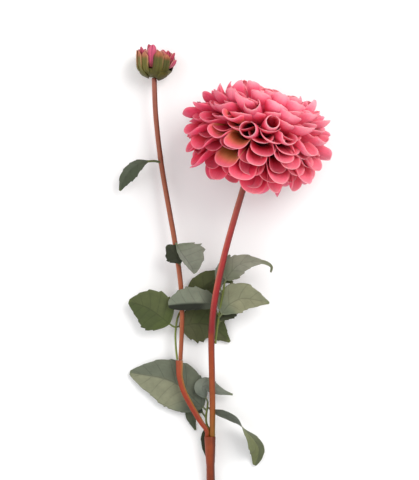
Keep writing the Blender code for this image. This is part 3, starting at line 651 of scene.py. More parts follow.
BLOOM_STEM_PATH = (
    (1.8, 72, 18), (1.3, 99, 22.4), (0.9, 121.5, 26.2), (1.4, 139.5, 29.3), (3.2, 157.5, 32.4),
    (6.3, 175.5, 35.2), (11.7, 199.8, 39.2), (18.9, 226.8, 43.6), (27.4, 256.0, 48.2),
)
BUD_STEM_LOWER_PATH = (
    (-8.6, 51.6, 13.4), (-16.7, 65.1, 13.6), (-24.1, 79.5, 14), (-27.6, 91.9, 14.2), (-28.0, 99.5, 14.3),
    (-28.0, 107.4, 14.4),
)
BUD_STEM_UPPER_PATH = (
    (-27.0, 107.7, 14.4), (-26.9, 112, 14.5), (-26.4, 121.5, 14.9), (-25.6, 147.6, 16.2),
    (-27.0, 178.2, 17.6), (-32.1, 214.7, 18.6), (-37.6, 245.7, 19), (-44.5, 286.2, 19), (-49.2, 328, 18.8),
    (-50.6, 361.9, 18.8),
)


def flower_stems() -> tuple[Stem, ...]:
    """The bloom stem and the two lengths of the bud stem."""
    return (
        Stem("bloom_stem", (*on_collar(2.25), *BLOOM_STEM_PATH, *bloom_foot()), (2.5, 2.85, 2.85, 2.85),
             places=(0.0, 0.12, 0.30, 0.385, 0.40, 0.55, 0.78, 1.0),
             left=((146, 98, 34), (154, 76, 32), (160, 64, 32), (156, 58, 32), (112, 30, 34), (206, 104, 84),
                   (204, 112, 92), (160, 112, 88)),
             middle=((148, 94, 30), (156, 80, 32), (160, 68, 32), (150, 56, 30), (142, 30, 32), (164, 36, 38),
                     (166, 54, 50), (150, 84, 68)),
             right=((112, 92, 32), (128, 68, 28), (116, 34, 30), (108, 28, 28), (116, 22, 28), (128, 24, 30),
                    (124, 36, 36), (108, 62, 50)),
             knots=(0.395,), tuck=1.2),
        Stem("bud_stem_lower", (*on_collar(-2.7), *BUD_STEM_LOWER_PATH), (2.0, 2.5, 2.5, 2.6, 3.3),
             places=(0.0, 0.25, 0.5, 0.75, 1.0),
             left=((160, 62, 30), (170, 62, 32), (172, 62, 32), (166, 64, 34), (160, 68, 38)),
             middle=((148, 60, 28), (152, 52, 26), (156, 52, 26), (166, 64, 32), (168, 80, 44)),
             right=((138, 80, 34), (158, 110, 50), (168, 120, 56), (170, 116, 58), (166, 114, 64)),
             tuck=1.2),
        Stem("bud_stem_upper", BUD_STEM_UPPER_PATH, (1.9, 2.3, 2.3, 2.3),
             places=(0.0, 0.12, 0.35, 0.6, 0.85, 1.0),
             left=((184, 110, 72), (188, 112, 74), (192, 116, 82), (180, 104, 78), (172, 100, 78),
                   (182, 114, 96)),
             middle=((160, 82, 48), (162, 82, 48), (160, 84, 54), (154, 86, 60), (150, 84, 62),
                     (156, 88, 70)),
             right=((126, 62, 36), (122, 58, 34), (118, 58, 40), (114, 60, 46), (112, 62, 48), (120, 68, 54)),
             knots=(0.72,)),
    )


def leaf_stalks() -> tuple[Stem, ...]:
    """The three thin green stalks that carry most of the leaves."""
    greens = dict(
        places=(0.0, 0.5, 1.0),
        # left is a painted highlight and right is painted shade on the stalks' sides
        left=((146, 158, 84), (136, 148, 74), (126, 136, 70)),
        middle=((120, 132, 60), (110, 122, 54), (104, 114, 52)),
        right=((92, 100, 44), (84, 94, 40), (80, 88, 40)),
        finish=Finish.STALK, slot="stalk_green", sides=14,
    )
    radii = (0.95, 0.9)
    return (
        Stem("leaf_stalk_low", (*on_collar(-0.2, -3.3), (-2.4, 47.5, 10.0), (-3.7, 51, 10), (-3.9, 57, 10.2),
                                (-2.7, 64.8, 10.5), (-2.3, 69.6, 11)), radii, tuck=1.2, **greens),
        Stem("leaf_stalk_left", ((-29.9, 107.7, 14), (-31, 117, 13.4), (-31.6, 128, 12.6), (-31.2, 136.8, 12),
                                 (-29.7, 145.8, 10), (-26.8, 151.6, 8), (-23.4, 154.6, 7.5)), radii,
                                 **greens),
        Stem("leaf_stalk_right", ((4.5, 123.0, 25.2), (5.3, 130, 25.4), (6.4, 139, 26.0), (7.8, 148.5, 27),
                                  (9.7, 160.2, 28.6), (11.7, 170.8, 30), (12.6, 177.6, 30.6)), radii,
                                  **greens),
    )


# ---------------------------------------------------------------- leaves

class LeafLook(Enum):
    """Screen colours of a leaf: its foot, its left and right halves from above, and its other side."""

    OLIVE_DARK = ((84, 96, 50), (76, 86, 48), (86, 94, 56), (104, 108, 84))
    OLIVE_LOW = ((92, 94, 62), (76, 84, 46), (82, 86, 54), (104, 108, 84))
    DUSK = ((78, 84, 66), (74, 82, 62), (82, 90, 70), (96, 102, 84))
    NIGHT = ((52, 56, 38), (48, 52, 34), (56, 60, 40), (90, 94, 76))
    MOSS = ((70, 76, 44), (84, 90, 52), (72, 78, 44), (90, 94, 70))
    SHADOW = ((64, 70, 44), (66, 72, 42), (58, 62, 40), (90, 94, 70))
    GREY = ((122, 128, 108), (126, 130, 114), (134, 136, 122), (82, 90, 56))
    GREY_WARM = ((118, 122, 100), (134, 134, 116), (142, 142, 124), (86, 92, 58))
    SAGE = ((112, 120, 96), (132, 134, 106), (142, 142, 112), (80, 88, 54))
    # its dark left half is painted shade on the half of the leaf folded down
    FOLDED = ((86, 92, 76), (40, 44, 32), (120, 127, 109), (70, 76, 56))
    BROAD = ((98, 106, 90), (138, 140, 114), (106, 112, 94), (84, 92, 58))
    STEEL = ((112, 120, 108), (124, 130, 116), (118, 124, 112), (78, 86, 60))
    ARCHED = ((98, 104, 88), (94, 100, 72), (114, 120, 80), (104, 110, 96))


@dataclass(frozen=True)
class Leaf:
    """One leaf: a toothed blade on a midrib from its stalk to the tip, in millimetres and degrees."""

    node: str
    rib: tuple
    left: float  # widest half, left of the rib from above
    right: float
    lift_left: float  # how far each half rises out of the blade's plane, degrees
    lift_right: float
    roll: tuple[float, float]  # turn of the blade about its rib at the base and at the tip, degrees
    bare: float  # share of the rib that is bare stalk
    teeth: int
    look: LeafLook
    widest: float = 0.38  # where along the blade it is widest
    blunt: float = 1.0  # under 1 rounds the outline out at both ends
    taper: float = 0.3  # how much narrower it is towards the tip
    notch: float = 0.14  # depth of the teeth, as a share of the half width
    wave: float = 0.6  # how far the margins wave, millimetres
    thickness: float = 0.5

    def along(self) -> tuple[Array, Array]:
        """Shares of the blade's length, packed round each tooth's step, and how far each tooth stands."""
        parts = np.array([0.0, 0.06, 0.14, 0.24, 0.36, 0.48, 0.6, 0.72, 0.83, 0.92, 0.97])
        s = np.r_[((np.arange(self.teeth)[:, None] + parts) / self.teeth).ravel(), 1.0]
        step = np.r_[np.tile(parts, self.teeth), 1.0]
        rise = np.where(step < 0.14, 1 - step / 0.14, np.clip((step - 0.14) / 0.86, 0, 1) ** 1.5)
        rise[s < 0.5 / self.teeth] = 0.0
        return s, 1 + self.notch * (rise - 0.43)

    def outline(self, s: Array) -> Array:
        """Half width as a share of the widest: a sine of a power of s that peaks at the widest place."""
        body = np.clip(np.sin(np.pi * s ** (np.log(0.5) / np.log(self.widest))), 0, 1) ** self.blunt
        return body * np.maximum(1 - self.taper * s**2, 0.2)

    def grid(self, columns: int = 31) -> tuple[Array, dict[str, Array]]:
        """The leaf's middle surface, stalk to tip and right margin to left, and where each point is.

        Across the rib each half is a chord of the blade folded up by lift·outline, waved towards the margin
        and quilted between its side veins.
        """
        s, tooth = self.along()
        s = s * 0.992
        stalk = np.linspace(0, 1, 7)[:-1]
        shares = np.r_[stalk * self.bare, self.bare + (1 - self.bare) * s]
        outline = np.r_[np.zeros(len(stalk)), self.outline(s)]
        tooth = np.r_[np.ones(len(stalk)), tooth]
        s = np.r_[np.zeros(len(stalk)), s]
        path = smooth_curve(self.rib, shares)
        tangent = curve_tangents(self.rib, shares)
        right = unit(np.cross(tangent, UP))
        up = np.cross(right, tangent)
        roll = np.radians(self.roll[0] + (self.roll[1] - self.roll[0]) * shares)[:, None]
        right, up = right * np.cos(roll) + up * np.sin(roll), up * np.cos(roll) - right * np.sin(roll)
        t = np.linspace(1, -1, columns)
        across = np.sign(t) * np.abs(t) ** 1.25
        half = np.where(across < 0, self.left, self.right) * (outline * tooth)[:, None] + 0.75
        lift = np.radians(np.where(across < 0, self.lift_left, self.lift_right))
        fold = lift[None] * np.clip(outline, 0, 1)[:, None]
        reach = np.abs(across) * half
        side = np.sign(across)[None]
        phase = (s[:, None] - 0.16 * np.abs(across)[None] ** 0.85) * self.teeth
        height = self.relief(s, across, phase, outline)
        rise = reach * np.sin(fold) + height
        grid = (path[:, None] + (side * reach * np.cos(fold))[..., None] * right[:, None]
                + rise[..., None] * up[:, None])
        shape = grid.shape[:2]
        where = {
            "s": np.broadcast_to(s[:, None], shape), "across": np.broadcast_to(across, shape),
            "phase": phase, "reach": reach * side, "outline": np.broadcast_to(outline[:, None], shape),
            "shares": np.broadcast_to(shares[:, None], shape),
        }
        grid[..., 2] = np.maximum(grid[..., 2], 0.35 + self.thickness / 2)
        return grid, where

    def relief(self, s: Array, across: Array, phase: Array, outline: Array) -> Array:
        """Height of the blade's relief: a sunk midrib, cushions between side veins, waves at the margin."""
        out = np.abs(across)[None]
        body = np.clip(outline, 0, 1)[:, None]
        cushion = 0.28 * (0.5 - 0.5 * np.cos(2 * np.pi * phase)) * np.sin(np.pi * np.clip(out, 0, 1)) * body
        sunk = -0.35 * bump(0.0, 0.07, out) * body
        beat = sum(ord(letter) for letter in self.node)
        waves = (np.sin(2 * np.pi * 2.3 * s[:, None] + beat)
                 + 0.6 * np.sin(2 * np.pi * 4.1 * s[:, None] - 2 * across + beat))
        return cushion + sunk + self.wave * out**2 * waves * body * 0.6

    def build(self, axes: PlantAxes, finishes: dict[Finish, bpy.types.Material]) -> bpy.types.Object:
        """Makes the leaf."""
        grid, where = self.grid()
        foot, left, right, under = (paint(c) for c in self.look.value)
        blade = np.clip(where["outline"] * 6, 0, 1)
        halves = blend(left, right, ease(-0.12, 0.12, where["across"]))
        upper = blend(foot, halves, ease(0.10, 0.34, where["s"]))
        edge = ease(0.75, 1.0, np.abs(where["across"]))
        upper = upper * (1 + 0.10 * edge[..., None]) * (0.90 + 0.10 * ease(0.0, 0.3, where["s"])[..., None])
        lower = blend(blend(under, foot, 0.25), under,
                      ease(0.1, 0.4, where["s"])) * (1 + 0.06 * edge[..., None])
        stalk = 0.5 * foot + 0.5 * paint((112, 122, 66))
        upper, lower = (blend(stalk, side, blade) for side in (upper, lower))
        length = curve_length(self.rib)
        skin = np.stack([where["reach"], where["shares"] * length], -1)
        shared = {"vein_phase": where["phase"], "from_rib": np.abs(where["across"]), "skin": skin}
        shared["from_rib"] = np.where(blade < 0.5, 1.0, shared["from_rib"])
        fat = ((1 - blade) * 1.5
               + blade * self.thickness * (1 - 0.4 * ease(0.85, 1.0, np.abs(where["across"]))))
        fat = fat + 0.45 * blade * bump(0.0, 0.06, where["across"]) * (1 - 0.7 * where["s"])
        front = {key: value[None] for key, value in {"tint": upper, **shared}.items()}
        back = {key: value[None] for key, value in {"tint": lower, **shared}.items()}
        return axes.add(self.node + "_fine", sheets(grid[None], fat[None], front, back),
                        finishes[Finish.LEAF], self.node, "leaf_green")


LEAVES = (
    Leaf("leaf_upper_left", ((-43.6, 285.6, 19.5), (-51.3, 286.9, 24), (-62, 285, 27), (-71, 279, 25),
         (-77.4, 271, 18), (-81.9, 260.6, 9)), 7.5, 8.5, -25, -20, (-45, -20), 0.24, 5, LeafLook.DUSK,
         0.45, taper=0.2),
    Leaf("leaf_bud_stem_dark",
         ((-27.6, 193.6, 18.1), (-27.4, 195.4, 24.6), (-30.2, 201, 25.6), (-35.6, 207.4, 24.2),
         (-39.6, 210.6, 21.6)), 9.5, 7.0, -12, -8, (0, 10), 0.24, 4, LeafLook.NIGHT, 0.5, blunt=0.7,
         wave=0.2),
    Leaf("leaf_bud_stem_pale",
         ((-31.0, 213.4, 18.5), (-30.0, 211.6, 28.0), (-25.4, 203.6, 32), (-20.6, 197.0, 32.6),
         (-17.0, 191.6, 31), (-14.0, 186.0, 27)), 20.0, 3.5, -14, -20, (-12, 0), 0.24, 5, LeafLook.GREY,
         0.5, blunt=0.72, notch=0.15, wave=0.3),
    Leaf("leaf_left_round", ((-31.2, 136.8, 12), (-36, 139.5, 13.5), (-46, 147.5, 16), (-57.6, 155.0, 15),
         (-74.0, 160.6, 11)), 18.5, 20.0, -8, 6, (0, 8), 0.14, 6, LeafLook.OLIVE_DARK,
         0.45, blunt=0.72, notch=0.09),
    Leaf("leaf_behind_stems", ((-31.2, 136.8, 12), (-28.4, 137.8, 9), (-12.6, 140.2, 7), (0.9, 138.4, 6),
         (9.9, 130.6, 4.5), (18, 123.2, 2.4)), 16.0, 17.0, -3, -3, (0, 0), 0.08, 6, LeafLook.OLIVE_LOW,
         wave=0.3),
    Leaf("leaf_top_dark",
         ((-23.4, 154.6, 7.5), (-12, 166, 9), (-1.5, 177, 11), (9, 181.5, 12), (20.7, 177.5, 9)), 13.0, 12.5,
         -14, -10, (0, -8), 0.08, 5, LeafLook.MOSS, notch=0.06, wave=0.4),
    Leaf("leaf_middle_folded", ((6.6, 149.5, 26.5), (3, 156.4, 24.5), (-3, 158.8, 24), (-12.6, 159.4, 26.4),
         (-24.3, 158.8, 27.4), (-38, 157.2, 23)), 8.0, 17.0, -44, -28, (0, 0), 0.14, 5, LeafLook.FOLDED,
         0.55, blunt=0.48, notch=0.11, wave=0.3),
    Leaf("leaf_upper_small", ((10.6, 168.0, 29.7), (8.5, 175, 26.6), (9.5, 189, 26.6), (17.5, 203, 27.5)),
         4.5, 8.0, -10, -10, (0, 0), 0.16, 4, LeafLook.GREY, 0.5, wave=0.2),
    Leaf("leaf_upper_right",
         ((12.6, 177.6, 30.6), (17.0, 185.4, 32.4), (23.8, 192.6, 35.4), (31, 195.8, 36.6),
         (40, 196.6, 35.4), (48.6, 195.9, 32), (54.6, 192.2, 28), (54.2, 187.0, 24)), 10.5, 9.5, -10, -12,
         (0, 0), 0.05, 6, LeafLook.GREY_WARM, 0.3, blunt=0.9, taper=1.7, wave=0.5),
    Leaf("leaf_right",
         ((7.2, 145.5, 26.6), (10.5, 150.0, 28.5), (17, 158.2, 29), (28, 163.4, 29), (40.5, 162.2, 27),
         (53, 159.3, 21)), 15.5, 12.0, -10, -12, (0, 0), 0.1, 5, LeafLook.SAGE, notch=0.1),
    Leaf("leaf_right_under", ((6.4, 139.0, 26.0), (11.5, 148, 22.5), (19, 155.0, 19.5), (27, 157, 17),
         (33.5, 155.6, 14)), 7.5, 9.0, -6, -12, (0, 0), 0.12, 5, LeafLook.SHADOW, 0.5, wave=0.3),
    Leaf("leaf_low_large",
         ((-3.0, 61.5, 10.4), (-9, 66.5, 8.2), (-18, 75, 7.0), (-29, 85.0, 7.0), (-44, 91.0, 7.4),
         (-59.4, 93.6, 6.2), (-73.6, 95.6, 3.2)), 24.5, 20.5, -3, -2, (0, 0), 0.06, 7, LeafLook.BROAD,
         0.45, blunt=0.72, notch=0.05, wave=0.5),
    Leaf("leaf_low_pointed", ((-3.7, 54.5, 10), (-8.4, 60.5, 6), (-14.6, 62.4, 4), (-17.2, 58.2, 3),
         (-16.2, 51.2, 2.4), (-13.4, 43.0, 2)), 5.2, 5.6, -2, -2, (0, 0), 0.2, 3, LeafLook.DUSK,
         0.42, taper=0.5, notch=0.05, wave=0.1),
    Leaf("leaf_low_arched",
         ((-2.3, 69.6, 11), (-5.2, 76, 12.2), (-7.2, 82.4, 13.2), (-3.6, 84.6, 13.6), (3.0, 81.2, 13.0),
         (9.2, 78.6, 11.6), (20.4, 76.0, 9)), 7.5, 4.5, -12, -14, (0, 0), 0.1, 4, LeafLook.STEEL,
         0.36, taper=0.6, notch=0.08, wave=0.2),
    Leaf("leaf_low_right",
         ((-2.7, 64.8, 10.5), (4, 60.6, 11), (15.4, 57.0, 13.5), (24, 52.6, 15), (31.4, 44.4, 15),
         (39, 36, 13), (43.6, 28, 10), (43.4, 20, 6), (40.0, 11.0, 2.6)), 7.5, 12.0, -6, -10, (184, -10),
         0.03, 6, LeafLook.ARCHED, 0.62, blunt=0.68, notch=0.09),
    Leaf("leaf_behind_collar",
         ((-3.6, 49.5, 10), (-5.0, 43, 6.4), (-5.0, 34, 5.2), (-4.2, 25, 4.2), (-2.6, 17, 3.6)), 2.4, 3.0, -3,
         -3, (0, 0), 0.2, 3, LeafLook.SHADOW, wave=0.0),
)


# ---------------------------------------------------------------- bloom

@dataclass(frozen=True)
class PetalSet:
    """Many petals of a ball bloom, one number each: where its tip lies, how it leans, rolls and cups."""

    polar: Array  # angle of the tip from the eye of the bloom
    azimuth: Array
    reach: Array  # as a share of the ball
    half_width: Array
    cup: Array  # half the angle that the petal wraps at its foot
    roll: Array
    yaw: Array
    curl: Array  # how far the tip bends in towards the eye, as a share of the length
    lean: Array  # how far the end leans back from the ball's radius towards the stem
    closure: Array  # 0 an open gutter cut round at its end, 1 a ladle whose end is a closed ball
    opening: Array  # how far the cup has opened at the tip, as a share of itself
    tone: Array  # −1 deep to 1 pale


@dataclass(frozen=True)
class Bloom:
    """The ball bloom: an oblate ball of cupped petals on a dark core, with shorter petals within."""

    across: float = 62.0
    along: float = 49.0
    petals: int = 130
    fillers: int = 170
    seed: int = 11
    turn: float = 0.9
    petal_half_width: float = 12.8
    base_at: tuple = (0, 45, 90, 130, 163)
    base_height: tuple = (2.0, -1.0, -9.0, -16.0, -20.0)
    base_radius: tuple = (1.0, 8.0, 13.0, 16.0, 15.0)
    press: float = 6.0  # height over the table in which the petals bend flat
    table_shorter: float = 0.12  # share that tips near the table are drawn in
    low_left: Point = (-0.80, -0.58, 0.1)
    low_left_longer: float = 0.10
    crown: Point = (-0.2, 0.97, 0.1)
    crown_shorter: float = 0.06
    heading_share: float = 0.55  # how far back from the tip its heading is held, of the petal's length
    slope: float = 0.06
    rows: int = 19
    columns: int = 13

    def scale(self, polar: Array) -> Array:
        """Petal size by angle from the eye, as a share of the largest."""
        return np.interp(polar, np.radians([0, 20, 50, 85]), [0.42, 0.6, 0.88, 1.0])

    def spread(self, count: int) -> Array:
        """Angles from the eye of so many petals, set closer where they are smaller."""
        polar = np.radians(np.linspace(3, 163, 600))
        crowd = np.cumsum((0.18 + np.sin(polar)) / self.scale(polar) ** 2)
        return np.interp((np.arange(count) + 0.5) / count, crowd / crowd[-1], polar)

    def facing(self, polar: Array, azimuth: Array) -> Array:
        """How far a petal's tip points straight up as the bloom lies, 0 to 1."""
        a, e1, e2 = ball_frame(BLOOM_AXIS)
        upward = a[2] * np.cos(polar) + np.sin(polar) * (np.cos(azimuth) * e1[2] + np.sin(azimuth) * e2[2])
        return ease(0.87, 0.97, upward)

    def outer(self) -> PetalSet:
        """The petals of the ball, from the eye to the stem in golden-angle steps."""
        shift = np.random.default_rng(self.seed).uniform(-1, 1, (self.petals, 6)).T
        extra = np.random.default_rng(self.seed + 1).uniform(-1, 1, (self.petals, 5)).T
        theta = self.spread(self.petals)
        azimuth = self.turn + GOLDEN_ANGLE * np.arange(self.petals) + 0.10 * shift[1]
        tube = self.facing(theta, azimuth)
        cup = np.interp(theta, np.radians([0, 50, 80, 115, 163]), [100, 94, 100, 82, 64]) + 14 * shift[4]
        reach = np.interp(theta, np.radians([0, 20, 42, 120, 163]), [0.66, 0.82, 1.0, 1.0, 1.0])
        return PetalSet(
            polar=theta + np.radians(3.5) * shift[0],
            azimuth=azimuth,
            reach=reach * (1 + 0.03 * shift[2]),
            half_width=(self.petal_half_width * self.scale(theta) * (1 + 0.12 * shift[3])
                        * (1.06 + 0.5 * tube)),
            cup=np.radians(cup + (168 - cup) * tube),
            roll=np.radians(13) * shift[5],
            yaw=0.12 * shift[0] * shift[5],
            curl=0.07 + 0.05 * extra[0],
            lean=np.radians(np.interp(theta, np.radians([0, 60, 90, 120, 163]), [0, 10, 26, 42, 30])
                            + 8 * extra[4]) * (1 - 0.6 * tube),
            closure=np.clip(np.interp(theta, np.radians([50, 80]), [0.62, 0.32]) + 0.2 * extra[2], 0, 1)
            * (1 - 0.5 * tube),
            opening=(0.5 + 0.12 * extra[3]) * (1 - tube) + 0.2 * tube,
            tone=extra[1],
        )

    def inner(self) -> PetalSet:
        """Shorter petals that fill the ball behind the outer ones."""
        shift = np.random.default_rng(self.seed + 2).uniform(-1, 1, (self.fillers, 6)).T
        theta = self.spread(self.fillers)
        return PetalSet(
            polar=theta + np.radians(4) * shift[0],
            azimuth=self.turn + 1.9 - GOLDEN_ANGLE * np.arange(self.fillers) + 0.15 * shift[1],
            reach=(np.interp(theta, np.radians([0, 42, 110, 163]), [0.64, 0.92, 0.92, 0.84])
                   + 0.025 * shift[2]),
            half_width=1.02 * self.petal_half_width * self.scale(theta) * (1 + 0.1 * shift[3]),
            cup=np.radians(78 + 12 * shift[4]),
            roll=np.radians(12) * shift[5],
            yaw=0.1 * shift[1],
            curl=0.05 + 0.03 * shift[5],
            lean=np.radians(np.interp(theta, np.radians([0, 60, 90, 120, 163]), [0, 10, 26, 40, 30])),
            closure=0.3 + 0.15 * shift[2],
            opening=0.5 + 0.1 * shift[4],
            tone=-0.5 + 0.4 * shift[3],
        )

    def grids(self, petals: PetalSet, u: Array, v: Array) -> tuple[Array, Array]:
        """The middle surfaces of all petals at shares u of their length and v, from −1 to 1, across.

        The midline is a quadratic Bezier from the receptacle to the tip, whose end leans back towards the
        stem and rises by curl·length·t², t growing over the last 0.38. Square to it the petal is an arc of
        radius R that opens towards the eye: p = m + R·(sin φ·side + (1 − cos φ)·face), φ = v·half/R. With w
        the width as a share of the widest, R0 = (half_width·w + 0.4) / (cup·(1.2 − opening·u)), with w held
        at 1 in the cap at the tip. There R = R0·(1 − closure·(1 − w)) and m rises by closure·R0·(1 − w), so
        the end runs from a round-cut gutter to a closed ball. Tips are drawn in near the table and at the
        crown, and pushed out at the lower left.

        Returns:
            The surfaces, shape (petals, rows, columns, 3), and each petal's length.
        """
        a, e1, e2 = ball_frame(BLOOM_AXIS)
        theta = petals.polar[:, None]
        out = np.cos(petals.azimuth)[:, None] * e1 + np.sin(petals.azimuth)[:, None] * e2
        round_ = np.cross(a, out)
        at = np.radians(self.base_at)
        base = a * np.interp(theta, at, self.base_height) + out * np.interp(theta, at, self.base_radius)
        tip = petals.reach[:, None] * (a * self.along * np.cos(theta) + out * self.across * np.sin(theta))
        tip = tip * (1 - self.table_shorter * ease(self.press, -self.press, tip[:, 2:] + BLOOM_CENTRE[2]))
        low_left, crown = (unit(tip) @ unit(np.array(way)) for way in (self.low_left, self.crown))
        tip = tip * (1 + self.low_left_longer * ease(0.45, 0.95, low_left)
                     - self.crown_shorter * ease(0.8, 0.97, crown))[:, None]
        lean = theta + petals.lean[:, None]
        heading = unit(a * np.cos(lean) + out * np.sin(lean) + round_ * petals.yaw[:, None])
        length = np.linalg.norm(tip - base, axis=-1)
        turn = tip - heading * self.heading_share * length[:, None]
        base, turn, tip, round_ = (p[:, None, None] for p in (base, turn, tip, round_))
        u = np.asarray(u, float)[None, :, None, None]
        v = np.asarray(v, float)[None, None, :, None]
        middle = (1 - u) ** 2 * base + 2 * u * (1 - u) * turn + u**2 * tip
        tangent = unit((1 - u) * (turn - base) + u * (tip - turn))
        side = unit(round_ - tangent * np.sum(tangent * round_, axis=-1, keepdims=True))
        face = np.cross(tangent, side)
        roll, cup, half_width, curl, closure, opening, long = (p[:, None, None, None] for p in (
            petals.roll, petals.cup, petals.half_width, petals.curl, petals.closure, petals.opening, length))
        side, face = side * np.cos(roll) + face * np.sin(roll), face * np.cos(roll) - side * np.sin(roll)
        cap_at = 1 - np.clip(0.85 * half_width / cup**1.2 / long, 0.06, 0.4)
        cap = np.clip((u - cap_at) / (1 - cap_at), 0, 1)
        width = np.sin(0.5 * np.pi * np.clip(u / PETAL_WIDEST, 0, 1)) ** 0.8 * (1 - cap**2.2 * 0.97) ** 0.5
        half = half_width * width + 0.4
        full = (half_width * np.where(u > cap_at, 1.0, width) + 0.4) / (cup * (1.2 - opening * u))
        closed = np.where(u > cap_at, closure * (1 - width), 0)
        radius = full * (1 - closed)
        phi = v * half / radius
        t = np.clip((u - 0.62) / 0.38, 0, 1)
        rise = full * closed + curl * long * t**2
        grid = middle + radius * (np.sin(phi) * side + (1 - np.cos(phi)) * face) + rise * face
        return grid + np.array(BLOOM_CENTRE), length

    def pressed(self, z: Array) -> Array:
        """Heights near the table after it has bent the petals: eased to the table, and held just over it."""
        eased = (z + self.press) ** 2 / (4 * self.press)
        return np.where(z > self.press, z, np.where(z > -self.press, eased, self.slope * (z + self.press)))

    def tints(self, petals: PetalSet, grid: Array, u: Array, v: Array) -> tuple[Array, Array]:
        """Screen tints of the inner and outer faces: deep at the foot, pale at the tip, with a painted
        highlight along the rim and at the tip, and painted shade in the hollow of each cup.

        Petals near OLIVE_SIDE keep a tan green foot. Painted shade deepens the bloom's left to crimson, and a
        painted highlight pales its right.
        """
        u = np.broadcast_to(np.asarray(u)[None, :, None], grid.shape[:3])
        v = np.broadcast_to(np.asarray(v)[None, None, :], grid.shape[:3])
        tone = np.broadcast_to(petals.tone[:, None, None], u.shape)
        outward = unit(grid - np.array(BLOOM_CENTRE))
        # place across the bloom, for painted shade on its left and a painted highlight on its right
        painted_light_across = np.clip((grid[..., 0] - BLOOM_CENTRE[0]) / self.across, -1, 1)
        inner = colour_run(u, (0.3, 0.6, 0.78, 0.9, 1.0),
                           ((150, 12, 36), (202, 36, 66), (240, 76, 106), (251, 116, 142), (253, 154, 168)))
        outer = colour_run(u, (0.3, 0.6, 0.8, 0.92, 1.0),
                           ((212, 104, 92), (236, 84, 110), (251, 86, 124), (254, 110, 143), (253, 150, 168)))
        # painted highlight along the petal margins and at the very tip
        rim = ease(0.84, 1.0, np.abs(v)) * ease(0.5, 0.8, u) + ease(0.975, 1.0, u)
        # painted shade in the hollow of each cup: the inner face is darker along its middle
        hollow_shade = 1 - 0.10 * (1 - np.abs(v)) ** 2
        olive = ease(0.84, 0.97, outward[:, -1:, 6:7] @ unit(np.array(OLIVE_SIDE)))
        olive = olive * ease(-0.7, 0.3, petals.tone)[:, None, None]
        made = []
        for colours, reach in ((inner * hollow_shade[..., None], 0.92), (outer, 0.86)):
            tan = blend(paint((176, 142, 66)), paint((226, 156, 108)), ease(0.55, reach, u))
            colours = blend(colours, tan, 0.9 * olive * ease(reach + 0.06, reach - 0.2, u))
            colours = blend(colours, paint((251, 176, 180)), np.clip(0.45 * rim, 0, 1))
            # painted shade darkens and reddens the bloom's left; a painted highlight pales its right
            colours = blend(colours, colours * (0.80, 0.44, 0.56), 0.85 * ease(0.1, -0.95, painted_light_across))
            colours = blend(colours, paint((244, 148, 164)), 0.38 * ease(0.0, 0.9, painted_light_across))
            made.append(np.clip(1.16 * colours * (1 + 0.12 * tone[..., None]), 0, 1))
        return made[0], made[1]

    def shell(self, petals: PetalSet, rows: int, columns: int, thickness: float) -> Shell:
        """The closed blades of a set of petals."""
        u = 1 - 0.9 * np.linspace(1, 0, rows) ** 2.2
        v = np.linspace(-1, 1, columns)
        grid, length = self.grids(petals, u, v)
        grid[..., 2] = self.pressed(grid[..., 2]) + thickness / 2 + 0.1
        inner, outer = self.tints(petals, grid, u, v)
        skin = np.stack(np.broadcast_arrays(v[None, None] * petals.half_width[:, None, None],
                                            u[None, :, None] * length[:, None, None]), -1)
        skin = skin + 40.0 * np.arange(len(length))[:, None, None, None]
        thin = thickness * (1 - 0.5 * ease(0.8, 1.0, np.abs(v)))[None, None]
        return sheets(grid, thin, {"tint": inner, "skin": skin}, {"tint": outer, "skin": skin})

    def core(self, rows: int = 18, columns: int = 28) -> Shell:
        """The dark heart that the petals stand on: an egg of rings round the axis."""
        a, e1, e2 = ball_frame(BLOOM_AXIS)
        polar = np.linspace(0.02, np.pi - 0.35, rows)[:, None, None]
        turn = np.linspace(0, 2 * np.pi, columns, endpoint=False)[None, :, None]
        rings = np.array(BLOOM_CENTRE) - a * 2 + 25.0 * np.cos(polar) * a + 33.0 * np.sin(polar) * (
            np.cos(turn) * e1 + np.sin(turn) * e2)
        rings = rings[::-1]
        tint = np.broadcast_to(paint((104, 12, 28)), rings.shape)
        skin = np.stack(np.broadcast_arrays(turn[..., 0] * 20, polar[::-1, :, 0] * 20), -1)
        return closed_tube(rings, {"tint": tint, "skin": skin})

    def build(self, axes: PlantAxes, finishes: dict[Finish, bpy.types.Material]) -> bpy.types.Object:
        """Makes the bloom: the outer petals, the fillers and the core in one piece."""
        parts = [
            self.shell(self.outer(), self.rows, self.columns, 0.55),
            self.shell(self.inner(), 11, 9, 0.5),
            self.core(),
        ]
        return axes.add("bloom_fine", Shell.joined(parts), finishes[Finish.PETAL], "bloom", "petal_pink")


# ---------------------------------------------------------------- cups and bud

def wrapped(base: Point, axis: Point, azimuth: Array, profile: Array, half: Array, v: Array) -> Array:
    """Blades that wrap round an axis.

    A point is base + r(u)·(cos φ·e1 + sin φ·e2) + h(u)·a with φ = azimuth + v·half(u)/r(u).

    Args:
        base: Where the axis starts.
        axis: Its direction a.
        azimuth: Where each blade stands, shape (blades,).
        profile: Radius r and height h along the blade, shape (rows, 2) or (blades, rows, 2).
        half: Half width along it, shape (rows,) or (blades, rows).
        v: Where across it, −1 to 1.

    Returns:
        Points, shape (blades, rows, columns, 3).
    """
    a, e1, e2 = ball_frame(axis)
    profile = np.broadcast_to(profile, (len(azimuth), *np.shape(profile)[-2:]))
    half = np.broadcast_to(half, profile.shape[:2])
    radius, height = profile[..., 0, None], profile[..., 1, None]
    angle = azimuth[:, None, None] + v * half[..., None] / np.maximum(radius, 2.5)
    out = np.cos(angle)[..., None] * e1 + np.sin(angle)[..., None] * e2
    return np.array(base) + radius[..., None] * out + height[..., None] * a


